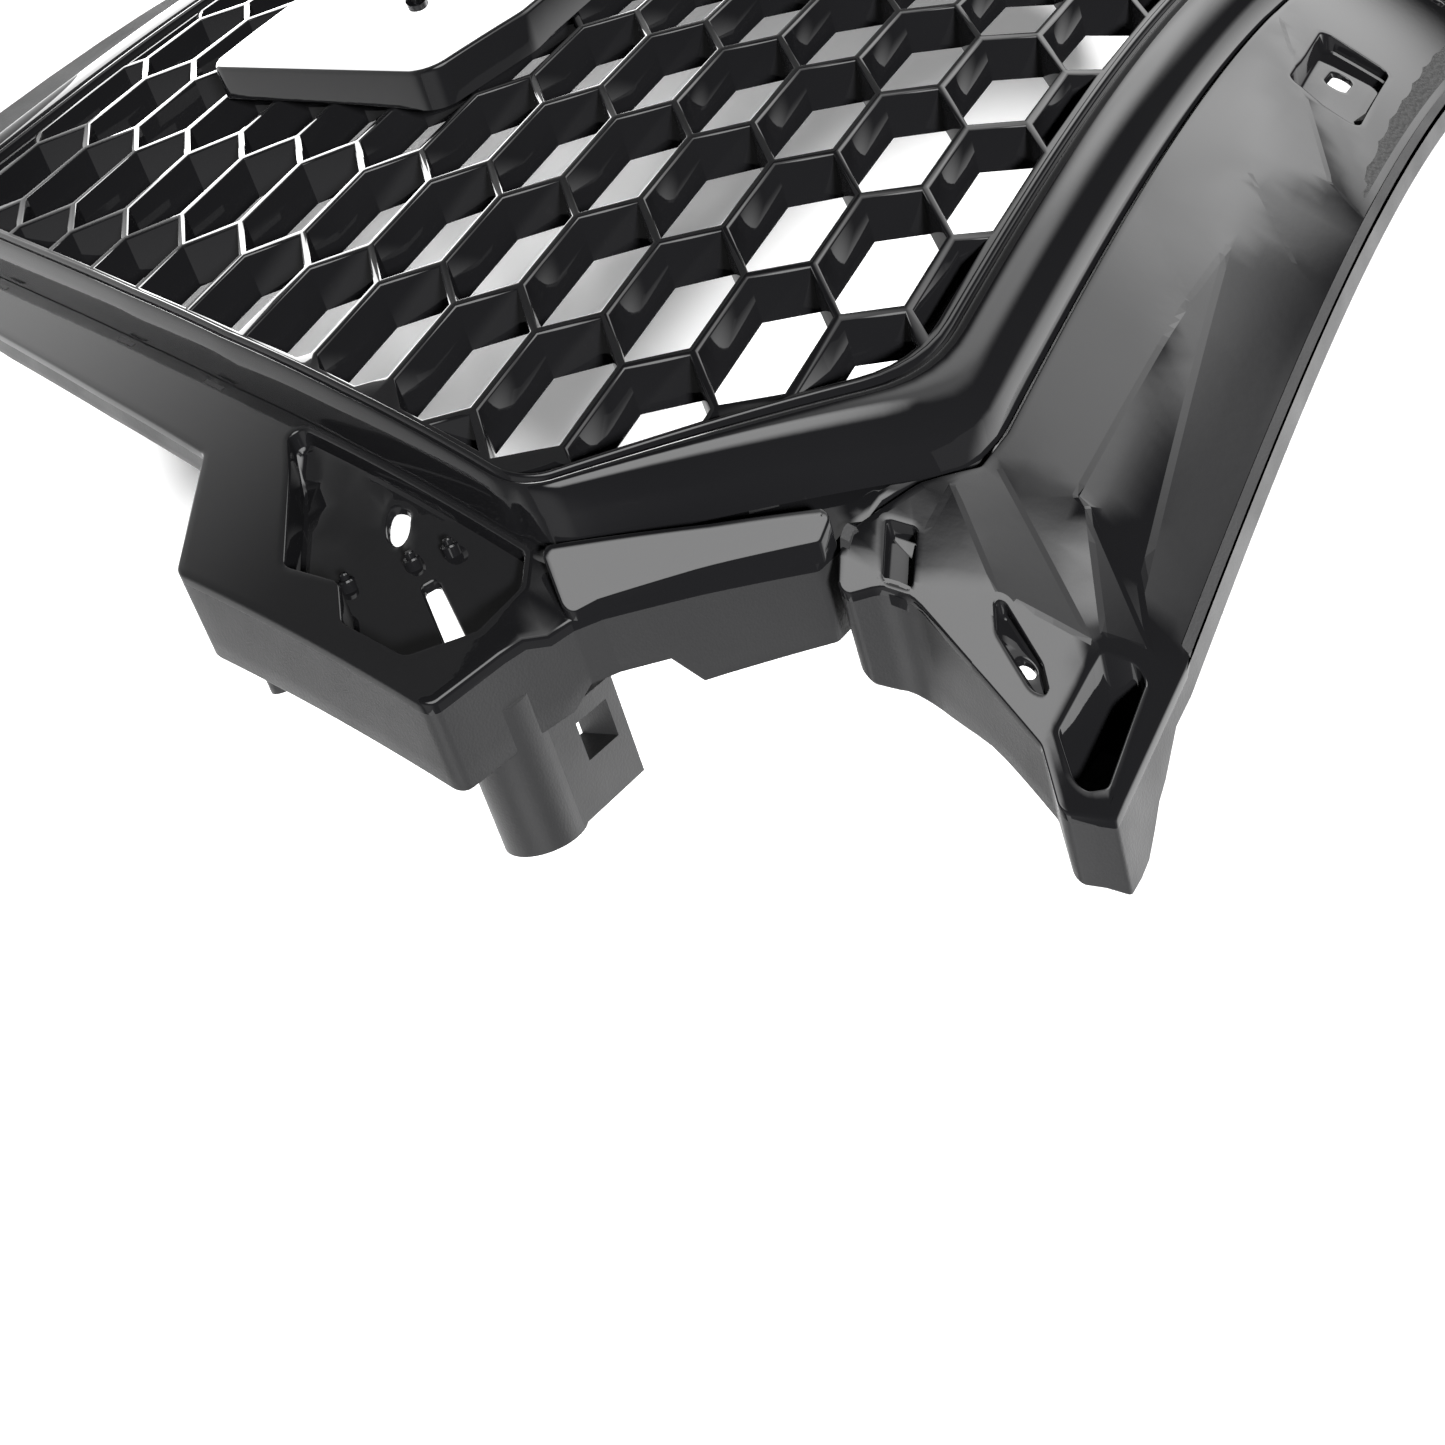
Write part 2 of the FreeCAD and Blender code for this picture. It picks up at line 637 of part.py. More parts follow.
def plate_base():
    """Hollow tray in front of the mesh; its walls stop just short of the mesh."""
    shell = column(plate_outline(0)).common(layer(0, 80, plate_y)).cut(layer(-0.5, 200))
    hollow = column(plate_outline(-PLATE_SKIN)).common(layer(PLATE_SKIN, 150, plate_y))
    body = shell.cut(hollow)
    for x in (-PLATE_HOLE_X, PLATE_HOLE_X):
        middle = (PLATE_TOP + PLATE_BOTTOM) / 2
        body = body.cut(Part.makeCylinder(PLATE_HOLE_R, 60, Vector(x, -80, middle), Vector(0, 1, 0)))
    for x, z in standoff_places():
        body = body.cut(Part.makeCylinder(SCREW_HOLE_R, 80, Vector(x, -90, z), Vector(0, 1, 0)))
    return solid(body)


def plate_standoffs():
    """Posts that carry the plate base off the mesh."""
    posts = []
    for x, z in standoff_places():
        start = plate_y(x, z) + PLATE_SKIN + 0.6
        end = face_y(x, z) + MESH_DEPTH + 6
        body = Part.makeCylinder(STANDOFF_R, end - start, Vector(x, start, z), Vector(0, 1, 0))
        flange = Part.makeCylinder(STANDOFF_R + 5, 2.5, Vector(x, end, z), Vector(0, 1, 0))
        pilot = Part.makeCylinder(STANDOFF_PILOT_R, 14, Vector(x, start - 1, z), Vector(0, 1, 0))
        posts.append(solid(body.fuse(flange).cut(pilot)))
    return Part.makeCompound(posts)


def plate_screws():
    """Screws through the plate base into its standoffs."""
    screws = []
    for x, z in standoff_places():
        y = plate_y(x, z)
        shank = Part.makeCylinder(SCREW_R, 13, Vector(x, y - 1.2, z), Vector(0, 1, 0))
        head = Part.makeCylinder(SCREW_HEAD_R, SCREW_HEAD, Vector(x, y - 1.2 - SCREW_HEAD, z), Vector(0, 1, 0))
        screws.append(solid(shank.fuse(head)))
    return Part.makeCompound(screws)


# ---- blank badge ----
def badge_base():
    """Oval pad that lies on the mesh, front face blank."""
    half_x, half_z = BADGE_HALF
    corners = [(s * half_x, BADGE_Z + t * half_z, half_z - 1) for s, t in ((1, 1), (1, -1), (-1, -1), (-1, 1))]
    return solid(sheet(round_corners(corners), BADGE_FRONT, -GAP))


def badge_clips():
    """Two clips through the cells, each with a bar behind the mesh."""
    clips = []
    for x in (-BADGE_CLIP_X, BADGE_CLIP_X):
        stem = post(x, BADGE_Z, 4.0, 0.0, MESH_DEPTH + 4)
        bar = [(x - 5, BADGE_Z - 17), (x + 5, BADGE_Z - 17), (x + 5, BADGE_Z + 17), (x - 5, BADGE_Z + 17)]
        clips.append(solid(stem.fuse(sheet(wire(bar), MESH_DEPTH + GAP, MESH_DEPTH + 3.5))))
    return Part.makeCompound(clips)


# ---- brackets ----
def hook_lug():
    """Hanging lug under the ear: hollow round column and a wing with a window."""
    x, z = LUG
    y = face_y(x, z)
    top = POCKET_DEPTH + SKIN + GAP
    stem = post(x, z, LUG_R, 0, LUG_END).cut(layer(-60, top))
    wing_length, wing_deep, wing_thick = LUG_WING
    wing_start = y + LUG_END - wing_deep - 1
    wing = Part.makeBox(wing_length, wing_deep, wing_thick, Vector(x - wing_length, wing_start, z - 2))
    window = Part.makeBox(14, 12, 30, Vector(x - wing_length + 5, wing_start + 5, z - 8))
    hollow = post(x, z, LUG_R - SKIN, top + 12, LUG_END + 5)
    return solid(stem.fuse(wing).cut(window).cut(hollow))


def tab_bracket():
    """Slotted fixing tab in the top panel's window, on two legs."""
    y = face_y(TAB_X, TAB_Z) + TAB_DEPTH
    width, thick, height = TAB_PLATE
    left = TAB_X - width / 2
    low = TAB_Z - height / 2
    plate = Part.makeBox(width, thick, height, Vector(left, y, low))
    legs = [Part.makeBox(thick, TAB_LEG, height, Vector(x, y, low)) for x in (left, left + width - thick)]
    body = plate.fuse(legs)
    return solid(body.cut(tab_slot(TAB_X)))


def tab_slot(x):
    """Level slot through the fixing tab, for moving the grille sideways."""
    y = face_y(TAB_X, TAB_Z) + TAB_DEPTH
    reach = TAB_SLOT_LENGTH / 2 - TAB_SLOT_R
    body = Part.makeBox(2 * reach, 10, 2 * TAB_SLOT_R, Vector(x - reach, y - 3, TAB_Z - TAB_SLOT_R))
    ends = [Part.makeCylinder(TAB_SLOT_R, 10, Vector(x + s * reach, y - 3, TAB_Z), Vector(0, 1, 0))
            for s in (-1, 1)]
    return body.fuse(ends).removeSplitter()


def sensor_bracket():
    """Parking sensor holder behind the mesh: sleeve, flange and two snap arms."""
    x, z = SENSOR
    half_x, half_z = SENSOR_FLANGE
    flange_plan = [(x + s * half_x, z + t * half_z) for s, t in ((-1, -1), (1, -1), (1, 1), (-1, 1))]
    body = sheet(wire(flange_plan), MESH_DEPTH + GAP, MESH_DEPTH + 3.2)
    body = body.fuse(post(x, z, SENSOR_SLEEVE_R, MESH_DEPTH + 1.5, MESH_DEPTH + 26))
    reach, thick, height = SENSOR_ARM
    for middle in (x - reach, x + reach):
        body = body.fuse(block(middle - thick / 2, z - height / 2, middle + thick / 2, z + height / 2,
                               MESH_DEPTH + 2, MESH_DEPTH + 24))
    return solid(body.cut(post(x, z, SENSOR_BORE_R, MESH_DEPTH - 8, MESH_DEPTH + 40)))


def sensor_plug():
    """Blank plug that closes the sensor holder."""
    x, z = SENSOR
    body = post(x, z, SENSOR_PLUG_R, MESH_DEPTH + 2, MESH_DEPTH + 27)
    return solid(body.fuse(post(x, z, SENSOR_CAP_R, MESH_DEPTH + 26.2, MESH_DEPTH + 29)))


def locating_pins():
    """Pins behind the ears that centre the grille in the bumper."""
    return Part.makeCompound(both(post(PIN[0], PIN[1], PIN_R, SEAT_DEPTH + SKIN + 1.2, PIN_END)))


NODES = {
    "carrier_frame": carrier_frame,
    "top_panel": top_panel,
    "ring_trim": ring_trim,
    "ring_clips": ring_clips,
    "mesh_insert": mesh_insert,
    "rim_screws": rim_screws,
    "panel_screws": panel_screws,
    "beam_screws": beam_screws,
    "seal_strip": seal_strip,
    "locating_pins": locating_pins,
    "lower_beam": lower_beam,
    "lower_hooks": lower_hooks,
    "plate_base": plate_base,
    "plate_standoffs": plate_standoffs,
    "plate_screws": plate_screws,
    "badge_base": badge_base,
    "badge_clips": badge_clips,
}
PAIRS = {
    "corner_cover": corner_cover,
    "hook_lug": hook_lug,
    "tab_bracket": tab_bracket,
    "sensor_bracket": sensor_bracket,
    "sensor_plug": sensor_plug,
}

os.makedirs("parts", exist_ok=True)
for name, make in NODES.items():
    save(name, make())
for name, make in PAIRS.items():
    right = make()
    save(name + "_right", right)
    save(name + "_left", flipped(right))
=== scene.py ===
"""Looks model of a car front grille: gloss ring and honeycomb on a moulded carrier.

Plan positions (x across, z up) and depths are millimetres in the maker's drawing.  The class
``Drawing`` turns them into row-frame metres, which every mesh is written in.
"""

import sys

import logging
import math
from dataclasses import dataclass, field
from enum import Enum
from typing import Callable, Sequence

import bpy
import numpy as np
from mathutils import Matrix, Vector
from mathutils.geometry import delaunay_2d_cdt

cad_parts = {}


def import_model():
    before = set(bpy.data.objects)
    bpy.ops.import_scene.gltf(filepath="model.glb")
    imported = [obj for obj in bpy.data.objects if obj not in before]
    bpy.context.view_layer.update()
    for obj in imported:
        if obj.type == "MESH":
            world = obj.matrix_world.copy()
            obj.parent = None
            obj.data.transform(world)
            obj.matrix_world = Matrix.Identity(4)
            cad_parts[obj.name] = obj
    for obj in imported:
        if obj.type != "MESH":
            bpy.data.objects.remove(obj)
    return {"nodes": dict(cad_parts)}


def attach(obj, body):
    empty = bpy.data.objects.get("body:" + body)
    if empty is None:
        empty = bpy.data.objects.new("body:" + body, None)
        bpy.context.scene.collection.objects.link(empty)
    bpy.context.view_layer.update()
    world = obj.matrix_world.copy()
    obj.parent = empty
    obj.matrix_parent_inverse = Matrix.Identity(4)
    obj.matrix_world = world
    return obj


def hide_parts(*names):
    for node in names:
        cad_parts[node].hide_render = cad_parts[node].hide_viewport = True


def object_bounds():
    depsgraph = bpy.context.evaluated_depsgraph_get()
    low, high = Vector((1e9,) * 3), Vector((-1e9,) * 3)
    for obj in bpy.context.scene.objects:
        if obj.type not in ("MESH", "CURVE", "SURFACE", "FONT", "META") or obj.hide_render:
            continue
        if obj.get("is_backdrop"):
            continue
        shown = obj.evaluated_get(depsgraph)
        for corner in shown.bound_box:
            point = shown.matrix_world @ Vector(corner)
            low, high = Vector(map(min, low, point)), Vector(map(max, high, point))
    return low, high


LOG = logging.getLogger("grille")
MM = 0.001
FLOOR_GAP = 0.0005
Point = tuple[float, float]
Loop = list[Point]
Depth = Callable[[float, float], float]


# ---------------------------------------------------------------- drawing
@dataclass(frozen=True)
class Drawing:
    """The swept front face and the drawing's zero."""

    lean: float = 0.407
    lean_growth: float = 1.07e-3
    lean_cubic: float = 1.72e-6
    sweep: float = 0.624e-3
    sweep_ease: float = -0.747e-9
    sweep_twist: float = 0.179e-6
    tab_x: float = 70.0
    tab_z: float = 142.0
    tab_depth: float = 30.0

    def face(self, x: float, z: float) -> float:
        """Front face of the mesh along Y.

        Args:
            x: Position across.
            z: Height.

        Returns:
            The Y position in drawing millimetres.
        """
        rise = self.lean * z + self.lean_growth * z ** 2 + self.lean_cubic * z ** 3
        return rise + self.sweep * x ** 2 + self.sweep_ease * x ** 4 + self.sweep_twist * x ** 2 * z

    def row(self, x: float, y: float, z: float) -> Vector:
        """Row-frame metres of a drawing point.

        Args:
            x: Position across.
            y: Position along Y.
            z: Height.

        Returns:
            The point in metres.
        """
        zero_y = self.face(self.tab_x, self.tab_z) + self.tab_depth
        return Vector((x * MM, (y - zero_y) * MM, (z - self.tab_z) * MM))

    def place(self, x: float, z: float, depth: float) -> Vector:
        """Row-frame point at a depth behind the mesh's front face."""
        return self.row(x, self.face(x, z) + depth, z)

    def plan(self, point: Vector) -> Point:
        """Plan position, in drawing millimetres, of a row-frame point."""
        return point.x / MM, point.z / MM + self.tab_z


DRAWING = Drawing()


def share_along(value: float, start: float, length: float) -> float:
    """Share from 0 to 1 over a length that begins at start."""
    return min(1.0, max(0.0, (value - start) / length))


# ---------------------------------------------------------------- plan outlines
class Plan:
    """Helpers for closed outlines in the plan, all counter-clockwise."""

    @staticmethod
    def area(loop: Sequence[Point]) -> float:
        """Signed area of an outline."""
        total = 0.0
        for (x1, z1), (x2, z2) in zip(loop, list(loop[1:]) + [loop[0]]):
            total += x1 * z2 - x2 * z1
        return total / 2

    @staticmethod
    def ccw(loop: Sequence[Point]) -> Loop:
        """The outline, turned counter-clockwise."""
        return list(loop) if Plan.area(loop) > 0 else list(reversed(loop))

    @staticmethod
    def flip(loop: Sequence[Point]) -> Loop:
        """Mirror image on the other side of the car."""
        return Plan.ccw([(-x, z) for x, z in loop])

    @staticmethod
    def mirrored(half: Sequence[tuple]) -> list[tuple]:
        """Whole outline from its right half, given from top to bottom or bottom to top."""
        return list(half) + [(-c[0],) + tuple(c[1:]) for c in reversed(half)]

    @staticmethod
    def rounded(corners: Sequence[tuple], radius: float = 0.0, step: float = 12.0) -> Loop:
        """Rounds every corner of an outline.

        Args:
            corners: (x, z) or (x, z, radius) corners.
            radius: Radius of the corners that give none.
            step: Largest angle between arc points in degrees.

        Returns:
            The rounded outline, counter-clockwise.
        """
        count = len(corners)
        result: Loop = []
        for i, corner in enumerate(corners):
            here = Vector(corner[:2])
            before = Vector(corners[i - 1][:2]) - here
            after = Vector(corners[(i + 1) % count][:2]) - here
            half = before.angle(after) / 2
            size = corner[2] if len(corner) > 2 else radius
            room = 0.45 * min(before.length, after.length)
            tangent = min(size / math.tan(half), room) if half < math.pi / 2 - 1e-3 else 0.0
            if tangent < 0.3:
                result.append((here.x, here.y))
                continue
            size = tangent * math.tan(half)
            before.normalize()
            after.normalize()
            centre = here + (before + after).normalized() * (size / math.sin(half))
            first = here + before * tangent - centre
            sweep = math.pi - 2 * half
            turn = sweep if first.x * (here - centre).y - first.y * (here - centre).x > 0 else -sweep
            pieces = max(2, math.ceil(math.degrees(sweep) / step))
            for k in range(pieces + 1):
                angle = turn * k / pieces
                x = first.x * math.cos(angle) - first.y * math.sin(angle)
                z = first.x * math.sin(angle) + first.y * math.cos(angle)
                result.append((centre.x + x, centre.y + z))
        return Plan.ccw(result)

    @staticmethod
    def dense(loop: Sequence[Point], step: float) -> Loop:
        """Adds points on long edges.

        Args:
            loop: Outline.
            step: Longest edge that stays undivided.

        Returns:
            The outline with no edge longer than step.
        """
        result: Loop = []
        for (x1, z1), (x2, z2) in zip(loop, list(loop[1:]) + [loop[0]]):
            pieces = max(1, math.ceil(math.hypot(x2 - x1, z2 - z1) / step))
            result += [(x1 + (x2 - x1) * k / pieces, z1 + (z2 - z1) * k / pieces) for k in range(pieces)]
        return result

    @staticmethod
    def circle(x: float, z: float, radius: float, count: int) -> Loop:
        """Points round a circle, counter-clockwise."""
        return [(x + radius * math.cos(math.tau * k / count), z + radius * math.sin(math.tau * k / count))
                for k in range(count)]

    @staticmethod
    def shaped(corners: Sequence[tuple], radius: float, step: float, side: Callable) -> Loop:
        """Rounded outline with no long edges, on one side of the car.

        Args:
            corners: Corners on the right-hand side.
            radius: Radius of the corners.
            step: Longest edge.
            side: ``list`` keeps the outline, ``Plan.flip`` takes it to the other side.

        Returns:
            The outline, counter-clockwise.
        """
        return Plan.dense(side(Plan.rounded(corners, radius)), step)

    @staticmethod
    def moved(loop: Sequence[Point], inward: float) -> Loop:
        """Outline moved inwards, or outwards for a negative distance, with mitred corners."""
        points = np.array(loop, float)
        ahead = np.roll(points, -1, 0) - points
        ahead /= np.maximum(np.linalg.norm(ahead, axis=1, keepdims=True), 1e-9)
        normal = np.stack([-ahead[:, 1], ahead[:, 0]], 1)
        before = np.roll(normal, 1, 0)
        mitre = (normal + before) / np.maximum(1 + (normal * before).sum(1, keepdims=True), 0.35)
        return [tuple(p) for p in points + mitre * inward]

    @staticmethod
    def clipped(loop: Sequence[Point], window: Sequence[Point]) -> Loop:
        """Part of a convex outline inside a convex window.

        Args:
            loop: Outline to clip.
            window: Counter-clockwise window.

        Returns:
            The clipped outline, or an empty list.
        """
        result = list(loop)
        for (ax, az), (bx, bz) in zip(window, list(window[1:]) + [window[0]]):
            if not result:
                return []
            side = [(bx - ax) * (z - az) - (bz - az) * (x - ax) for x, z in result]
            kept: Loop = []
            for i, (x, z) in enumerate(result):
                j = i - 1
                if (side[i] >= 0) != (side[j] >= 0):
                    t = side[j] / (side[j] - side[i])
                    px, pz = result[j]
                    kept.append((px + (x - px) * t, pz + (z - pz) * t))
                if side[i] >= 0:
                    kept.append((x, z))
            result = kept
        return result

    @staticmethod
    def spaced(loop: Sequence[Point], gap: float) -> Loop:
        """Drops points that are nearer than gap to the one before."""
        result: Loop = []
        for x, z in loop:
            if not result or math.hypot(x - result[-1][0], z - result[-1][1]) > gap:
                result.append((x, z))
        while len(result) > 3 and math.dist(result[0], result[-1]) <= gap:
            result.pop()
        return result

    @staticmethod
    def inside(points: np.ndarray, loop: Sequence[Point]) -> np.ndarray:
        """Which points lie inside an outline."""
        x, z = points[:, 0], points[:, 1]
        hit = np.zeros(len(points), bool)
        for (x1, z1), (x2, z2) in zip(loop, list(loop[1:]) + [loop[0]]):
            if z1 == z2:
                continue
            crosses = (z1 > z) != (z2 > z)
            hit ^= crosses & (x < (x2 - x1) * (z - z1) / (z2 - z1) + x1)
        return hit

    @staticmethod
    def distance(points: np.ndarray, loop: Sequence[Point], closed: bool = True) -> np.ndarray:
        """Distance of each point from an outline or an open line."""
        ends = list(loop[1:]) + ([loop[0]] if closed else [])
        best = np.full(len(points), 1e9)
        for (x1, z1), (x2, z2) in zip(loop, ends):
            run = np.array([x2 - x1, z2 - z1])
            length = max(float(run @ run), 1e-12)
            t = np.clip(((points - (x1, z1)) @ run) / length, 0, 1)
            best = np.minimum(best, np.linalg.norm(points - (np.array([x1, z1]) + t[:, None] * run), axis=1))
        return best

    @staticmethod
    def fill(loops: Sequence[Loop], spots: Sequence[Point] = (),
             ties: Sequence[tuple[int, int]] = ()) -> tuple[Loop, list[tuple], list[list[int]]]:
        """Triangles that fill an outline with holes.

        Args:
            loops: Outer outline, then the holes.
            spots: Further points inside.
            ties: Edges between spots that the triangles keep.

        Returns:
            The points, the triangles and the point numbers of each outline.
        """
        thinnest = 0.003
        plan = [p for loop in loops for p in loop]
        edges = []
        start = 0
        for loop in loops:
            edges += [(start + i, start + (i + 1) % len(loop)) for i in range(len(loop))]
            start += len(loop)
        edges += [(start + a, start + b) for a, b in ties]
        found = delaunay_2d_cdt([Vector(p) for p in plan + list(spots)], edges, [], 0, 1e-5)
        verts, faces, origin = found[0], found[2], found[3]
        place = {old: new for new, olds in enumerate(origin) for old in olds}
        flat = np.array([(v.x, v.y) for v in verts])
        corners = flat[np.array(faces)]
        good = Plan.inside(corners.mean(1), loops[0])
        for loop in loops[1:]:
            good &= ~Plan.inside(corners.mean(1), loop)
        ab = corners[:, 1] - corners[:, 0]
        ac = corners[:, 2] - corners[:, 0]
        doubled = np.abs(ab[:, 0] * ac[:, 1] - ab[:, 1] * ac[:, 0])
        longest = np.maximum(np.linalg.norm(ab, axis=1), np.linalg.norm(ac, axis=1))
        good &= doubled > thinnest * longest
        rings = []
        start = 0
        for loop in loops:
            rings.append([place[start + i] for i in range(len(loop))])
            start += len(loop)
        return [tuple(p) for p in flat], [tuple(f) for f, keep in zip(faces, good) if keep], rings


@dataclass
class Relief:
    """Flat facets over the right half of the plan, mirrored: corners with a rise, and creases."""

    corners: dict[str, tuple[float, float, float]]
    creases: list[tuple[str, str]]
    _cells: list = field(default_factory=list)

    def __post_init__(self) -> None:
        """Splits the corners into triangles."""
        names = list(self.corners)
        plan = [Vector(self.corners[n][:2]) for n in names]
        edges = [(names.index(a), names.index(b)) for a, b in self.creases]
        verts, _, faces, origin, _, _ = delaunay_2d_cdt(plan, edges, [], 0, 1e-4)
        rise = [self.corners[names[o[0]]][2] if o else 0.0 for o in origin]
        for a, b, c in faces:
            self._cells.append((verts[a], verts[b], verts[c], rise[a], rise[b], rise[c]))

    def rise(self, x: float, z: float) -> float:
        """Rise of the facets above the plain panel."""
        x = abs(x)
        for a, b, c, ra, rb, rc in self._cells:
            base = (b.y - c.y) * (a.x - c.x) + (c.x - b.x) * (a.y - c.y)
            if abs(base) < 1e-9:
                continue
            u = ((b.y - c.y) * (x - c.x) + (c.x - b.x) * (z - c.y)) / base
            v = ((c.y - a.y) * (x - c.x) + (a.x - c.x) * (z - c.y)) / base
            if u > -1e-6 and v > -1e-6 and u + v < 1 + 1e-6:
                return u * ra + v * rb + (1 - u - v) * rc
        return 0.0

    def lines(self) -> list[tuple[Point, Point]]:
        """Crease lines of both sides as plan segments."""
        found = [(self.corners[a][:2], self.corners[b][:2]) for a, b in self.creases]
        return found + [((-a[0], a[1]), (-b[0], b[1])) for a, b in found]


# ---------------------------------------------------------------- mesh building
class Builder:
    """Collects vertices and faces of one closed piece."""

    def __init__(self) -> None:
        """Starts an empty piece."""
        self.points: list[Vector] = []
        self.faces: list[tuple[int, ...]] = []

    def ring(self, points: Sequence[Vector]) -> list[int]:
        """Adds points and returns their numbers."""
        start = len(self.points)
        self.points += list(points)
        return list(range(start, len(self.points)))

    def band(self, a: Sequence[int], b: Sequence[int]) -> None:
        """Closed strip of four-sided faces between two rings of equal length."""
        count = len(a)
        for i in range(count):
            j = (i + 1) % count
            self.faces.append((a[i], a[j], b[j], b[i]))

    def fan(self, ring: Sequence[int], flip: bool = False) -> None:
        """Closes a ring with one face."""
        self.faces.append(tuple(reversed(ring)) if flip else tuple(ring))

    def piece(self, name: str, crease: float = 32.0) -> bpy.types.Object:
        """Makes the Blender object.

        Args:
            name: Name of the piece.
            crease: Edges sharper than this angle in degrees stay sharp.

        Returns:
            The new object, linked to the scene.
        """
        mesh = bpy.data.meshes.new(name)
        mesh.from_pydata([tuple(p) for p in self.points], [], self.faces)
        mesh.update()
        made = bpy.data.objects.new(name, mesh)
        bpy.context.scene.collection.objects.link(made)
        Finish.tidy(mesh, crease)
        return made


@dataclass
class Cut:
    """An opening in a sheet: right through, or down to a floor."""

    outline: Loop
    floor: Depth | None = None
    inner: list["Cut"] = field(default_factory=list)
    creases: list[tuple[Point, Point]] = field(default_factory=list)


@dataclass
class Shell:
    """A moulded sheet with rounded edges, outer walls, openings and pockets."""

    surface: Depth
    depth: Depth
    bottom: Depth
    skin: float = 3.0
    edge: float = 1.2
    grid: float = 9.0
    creases: list[tuple[Point, Point]] = field(default_factory=list)
    crease_half: float = 0.9
    crease_step: float = 5.0
    crease_gap: float = 0.8
    shift: tuple[float, float] = (0.37, 0.41)
    clear: float = 0.4
    rounds: int = 3
    build: Builder = field(default_factory=Builder)

    def at(self, x: float, z: float, depth: float) -> Vector:
        """Row-frame point at a depth behind this shell's surface."""
        return DRAWING.row(x, self.surface(x, z) + depth, z)

    def level(self, loop: Sequence[Point], depth: Depth, extra: float = 0.0) -> list[int]:
        """Adds an outline at a depth."""
        return self.build.ring([self.at(x, z, depth(x, z) + extra) for x, z in loop])

    def crease_points(self, lines: list[tuple[Point, Point]]) -> list[list[Point]]:
        """Two support lines beside every crease."""
        runs = []
        for (x1, z1), (x2, z2) in lines:
            length = math.dist((x1, z1), (x2, z2))
            nx, nz = -(z2 - z1) / length, (x2 - x1) / length
            pieces = max(1, round(length / self.crease_step))
            for side in (-self.crease_half, self.crease_half):
                runs.append([(x1 + (x2 - x1) * k / pieces + nx * side,
                              z1 + (z2 - z1) * k / pieces + nz * side) for k in range(pieces + 1)])
        return runs

    def sheet(self, outer: Loop, holes: list[Loop], depth: Depth,
              lines: list[tuple[Point, Point]]) -> tuple[list[list[int]], list[list[int]]]:
        """Front and back faces of a sheet.

        Args:
            outer: Outline of the sheet.
            holes: Outlines that stay open.
            depth: Depth of the front.
            lines: Creases.

        Returns:
            The front and the back rings, the outer one first.
        """
        def free(points: np.ndarray, gap: float) -> np.ndarray:
            """Which points are inside the sheet and clear of its outlines."""
            good = Plan.inside(points, outer) & (Plan.distance(points, outer) > gap)
            for hole in holes:
                good &= ~Plan.inside(points, hole) & (Plan.distance(points, hole) > gap)
            return good

        spots: list[Point] = []
        ties: list[tuple[int, int]] = []
        runs = self.crease_points(lines)
        for run in runs:
            last = None
            for spot, keep in zip(run, free(np.array(run), self.crease_gap)):
                if keep:
                    spots.append(spot)
                    if last is not None:
                        ties.append((last, len(spots) - 1))
                last = len(spots) - 1 if keep else None
        low = np.min(np.array(outer), 0)
        high = np.max(np.array(outer), 0)
        xs = np.arange(low[0] + self.grid * self.shift[0], high[0], self.grid)
        zs = np.arange(low[1] + self.grid * self.shift[1], high[1], self.grid)
        between = np.array([(x + (self.grid / 2 if j % 2 else 0), z)
                            for j, z in enumerate(zs) for x in xs])
        if len(between):
            good = free(between, self.grid * self.clear)
            for run in runs:
                good &= Plan.distance(between, run, closed=False) > self.grid * self.clear
            spots += [tuple(p) for p in between[good]]
        flat, faces, rings = Plan.fill([outer] + holes, spots, ties)
        front = self.level(flat, depth)
        back = self.level(flat, depth, self.skin)
        for face in faces:
            self.build.faces.append(tuple(front[k] for k in face))
            self.build.faces.append(tuple(back[k] for k in reversed(face)))
        return [[front[k] for k in ring] for ring in rings], [[back[k] for k in ring] for ring in rings]

    def roundover(self, start: list[int], outline: Loop, depth: Depth, inward: float) -> list[int]:
        """Rounded edge from the sheet to the top of a wall.

        Args:
            start: Ring on the sheet.
            outline: Outline of the wall.
            depth: Depth of the sheet.
            inward: +1 where the sheet is inside the outline, -1 where it is outside.

        Returns:
            The ring at the top of the wall.
        """
        last = start
        for k in range(self.rounds + 1):
            angle = math.pi / 2 * k / self.rounds
            loop = Plan.moved(outline, inward * self.edge * (1 - math.sin(angle)))
            here = [self.at(x, z, depth(u, w) + self.edge * (1 - math.cos(angle)))
                    for (x, z), (u, w) in zip(loop, Plan.moved(outline, inward * self.edge))]
            ring = self.build.ring(here)
            self.build.band(ring, last) if inward > 0 else self.build.band(last, ring)
            last = ring
        return last

    def cuts(self, cuts: list[Cut], fronts: list[list[int]], backs: list[list[int]], depth: Depth) -> None:
        """Walls and floors of the openings.

        Args:
            cuts: The openings.
            fronts: Rings on the front of the sheet, one for each opening.
            backs: Rings on its back.
            depth: Depth of the sheet.
        """
        for cut, front, back in zip(cuts, fronts, backs):
            top = self.roundover(front, cut.outline, depth, -1)
            if cut.floor is None:
                low = self.level(cut.outline, depth, self.skin)
                self.build.band(top, low)
                self.build.band(low, back)
                continue
            fillet = Plan.moved(cut.outline, self.edge)
            wall = self.level(cut.outline, cut.floor, -self.edge)
            self.build.band(top, wall)
            holes = [Plan.moved(c.outline, -self.skin) for c in cut.inner]
            low_front, low_back = self.sheet(fillet, holes, cut.floor, cut.creases)
            self.build.band(wall, low_front[0])
            outside = self.level(Plan.moved(cut.outline, -self.skin), cut.floor, self.skin)
            self.build.band(outside, back)
            self.build.band(low_back[0], outside)
            self.cuts(cut.inner, low_front[1:], low_back[1:], cut.floor)

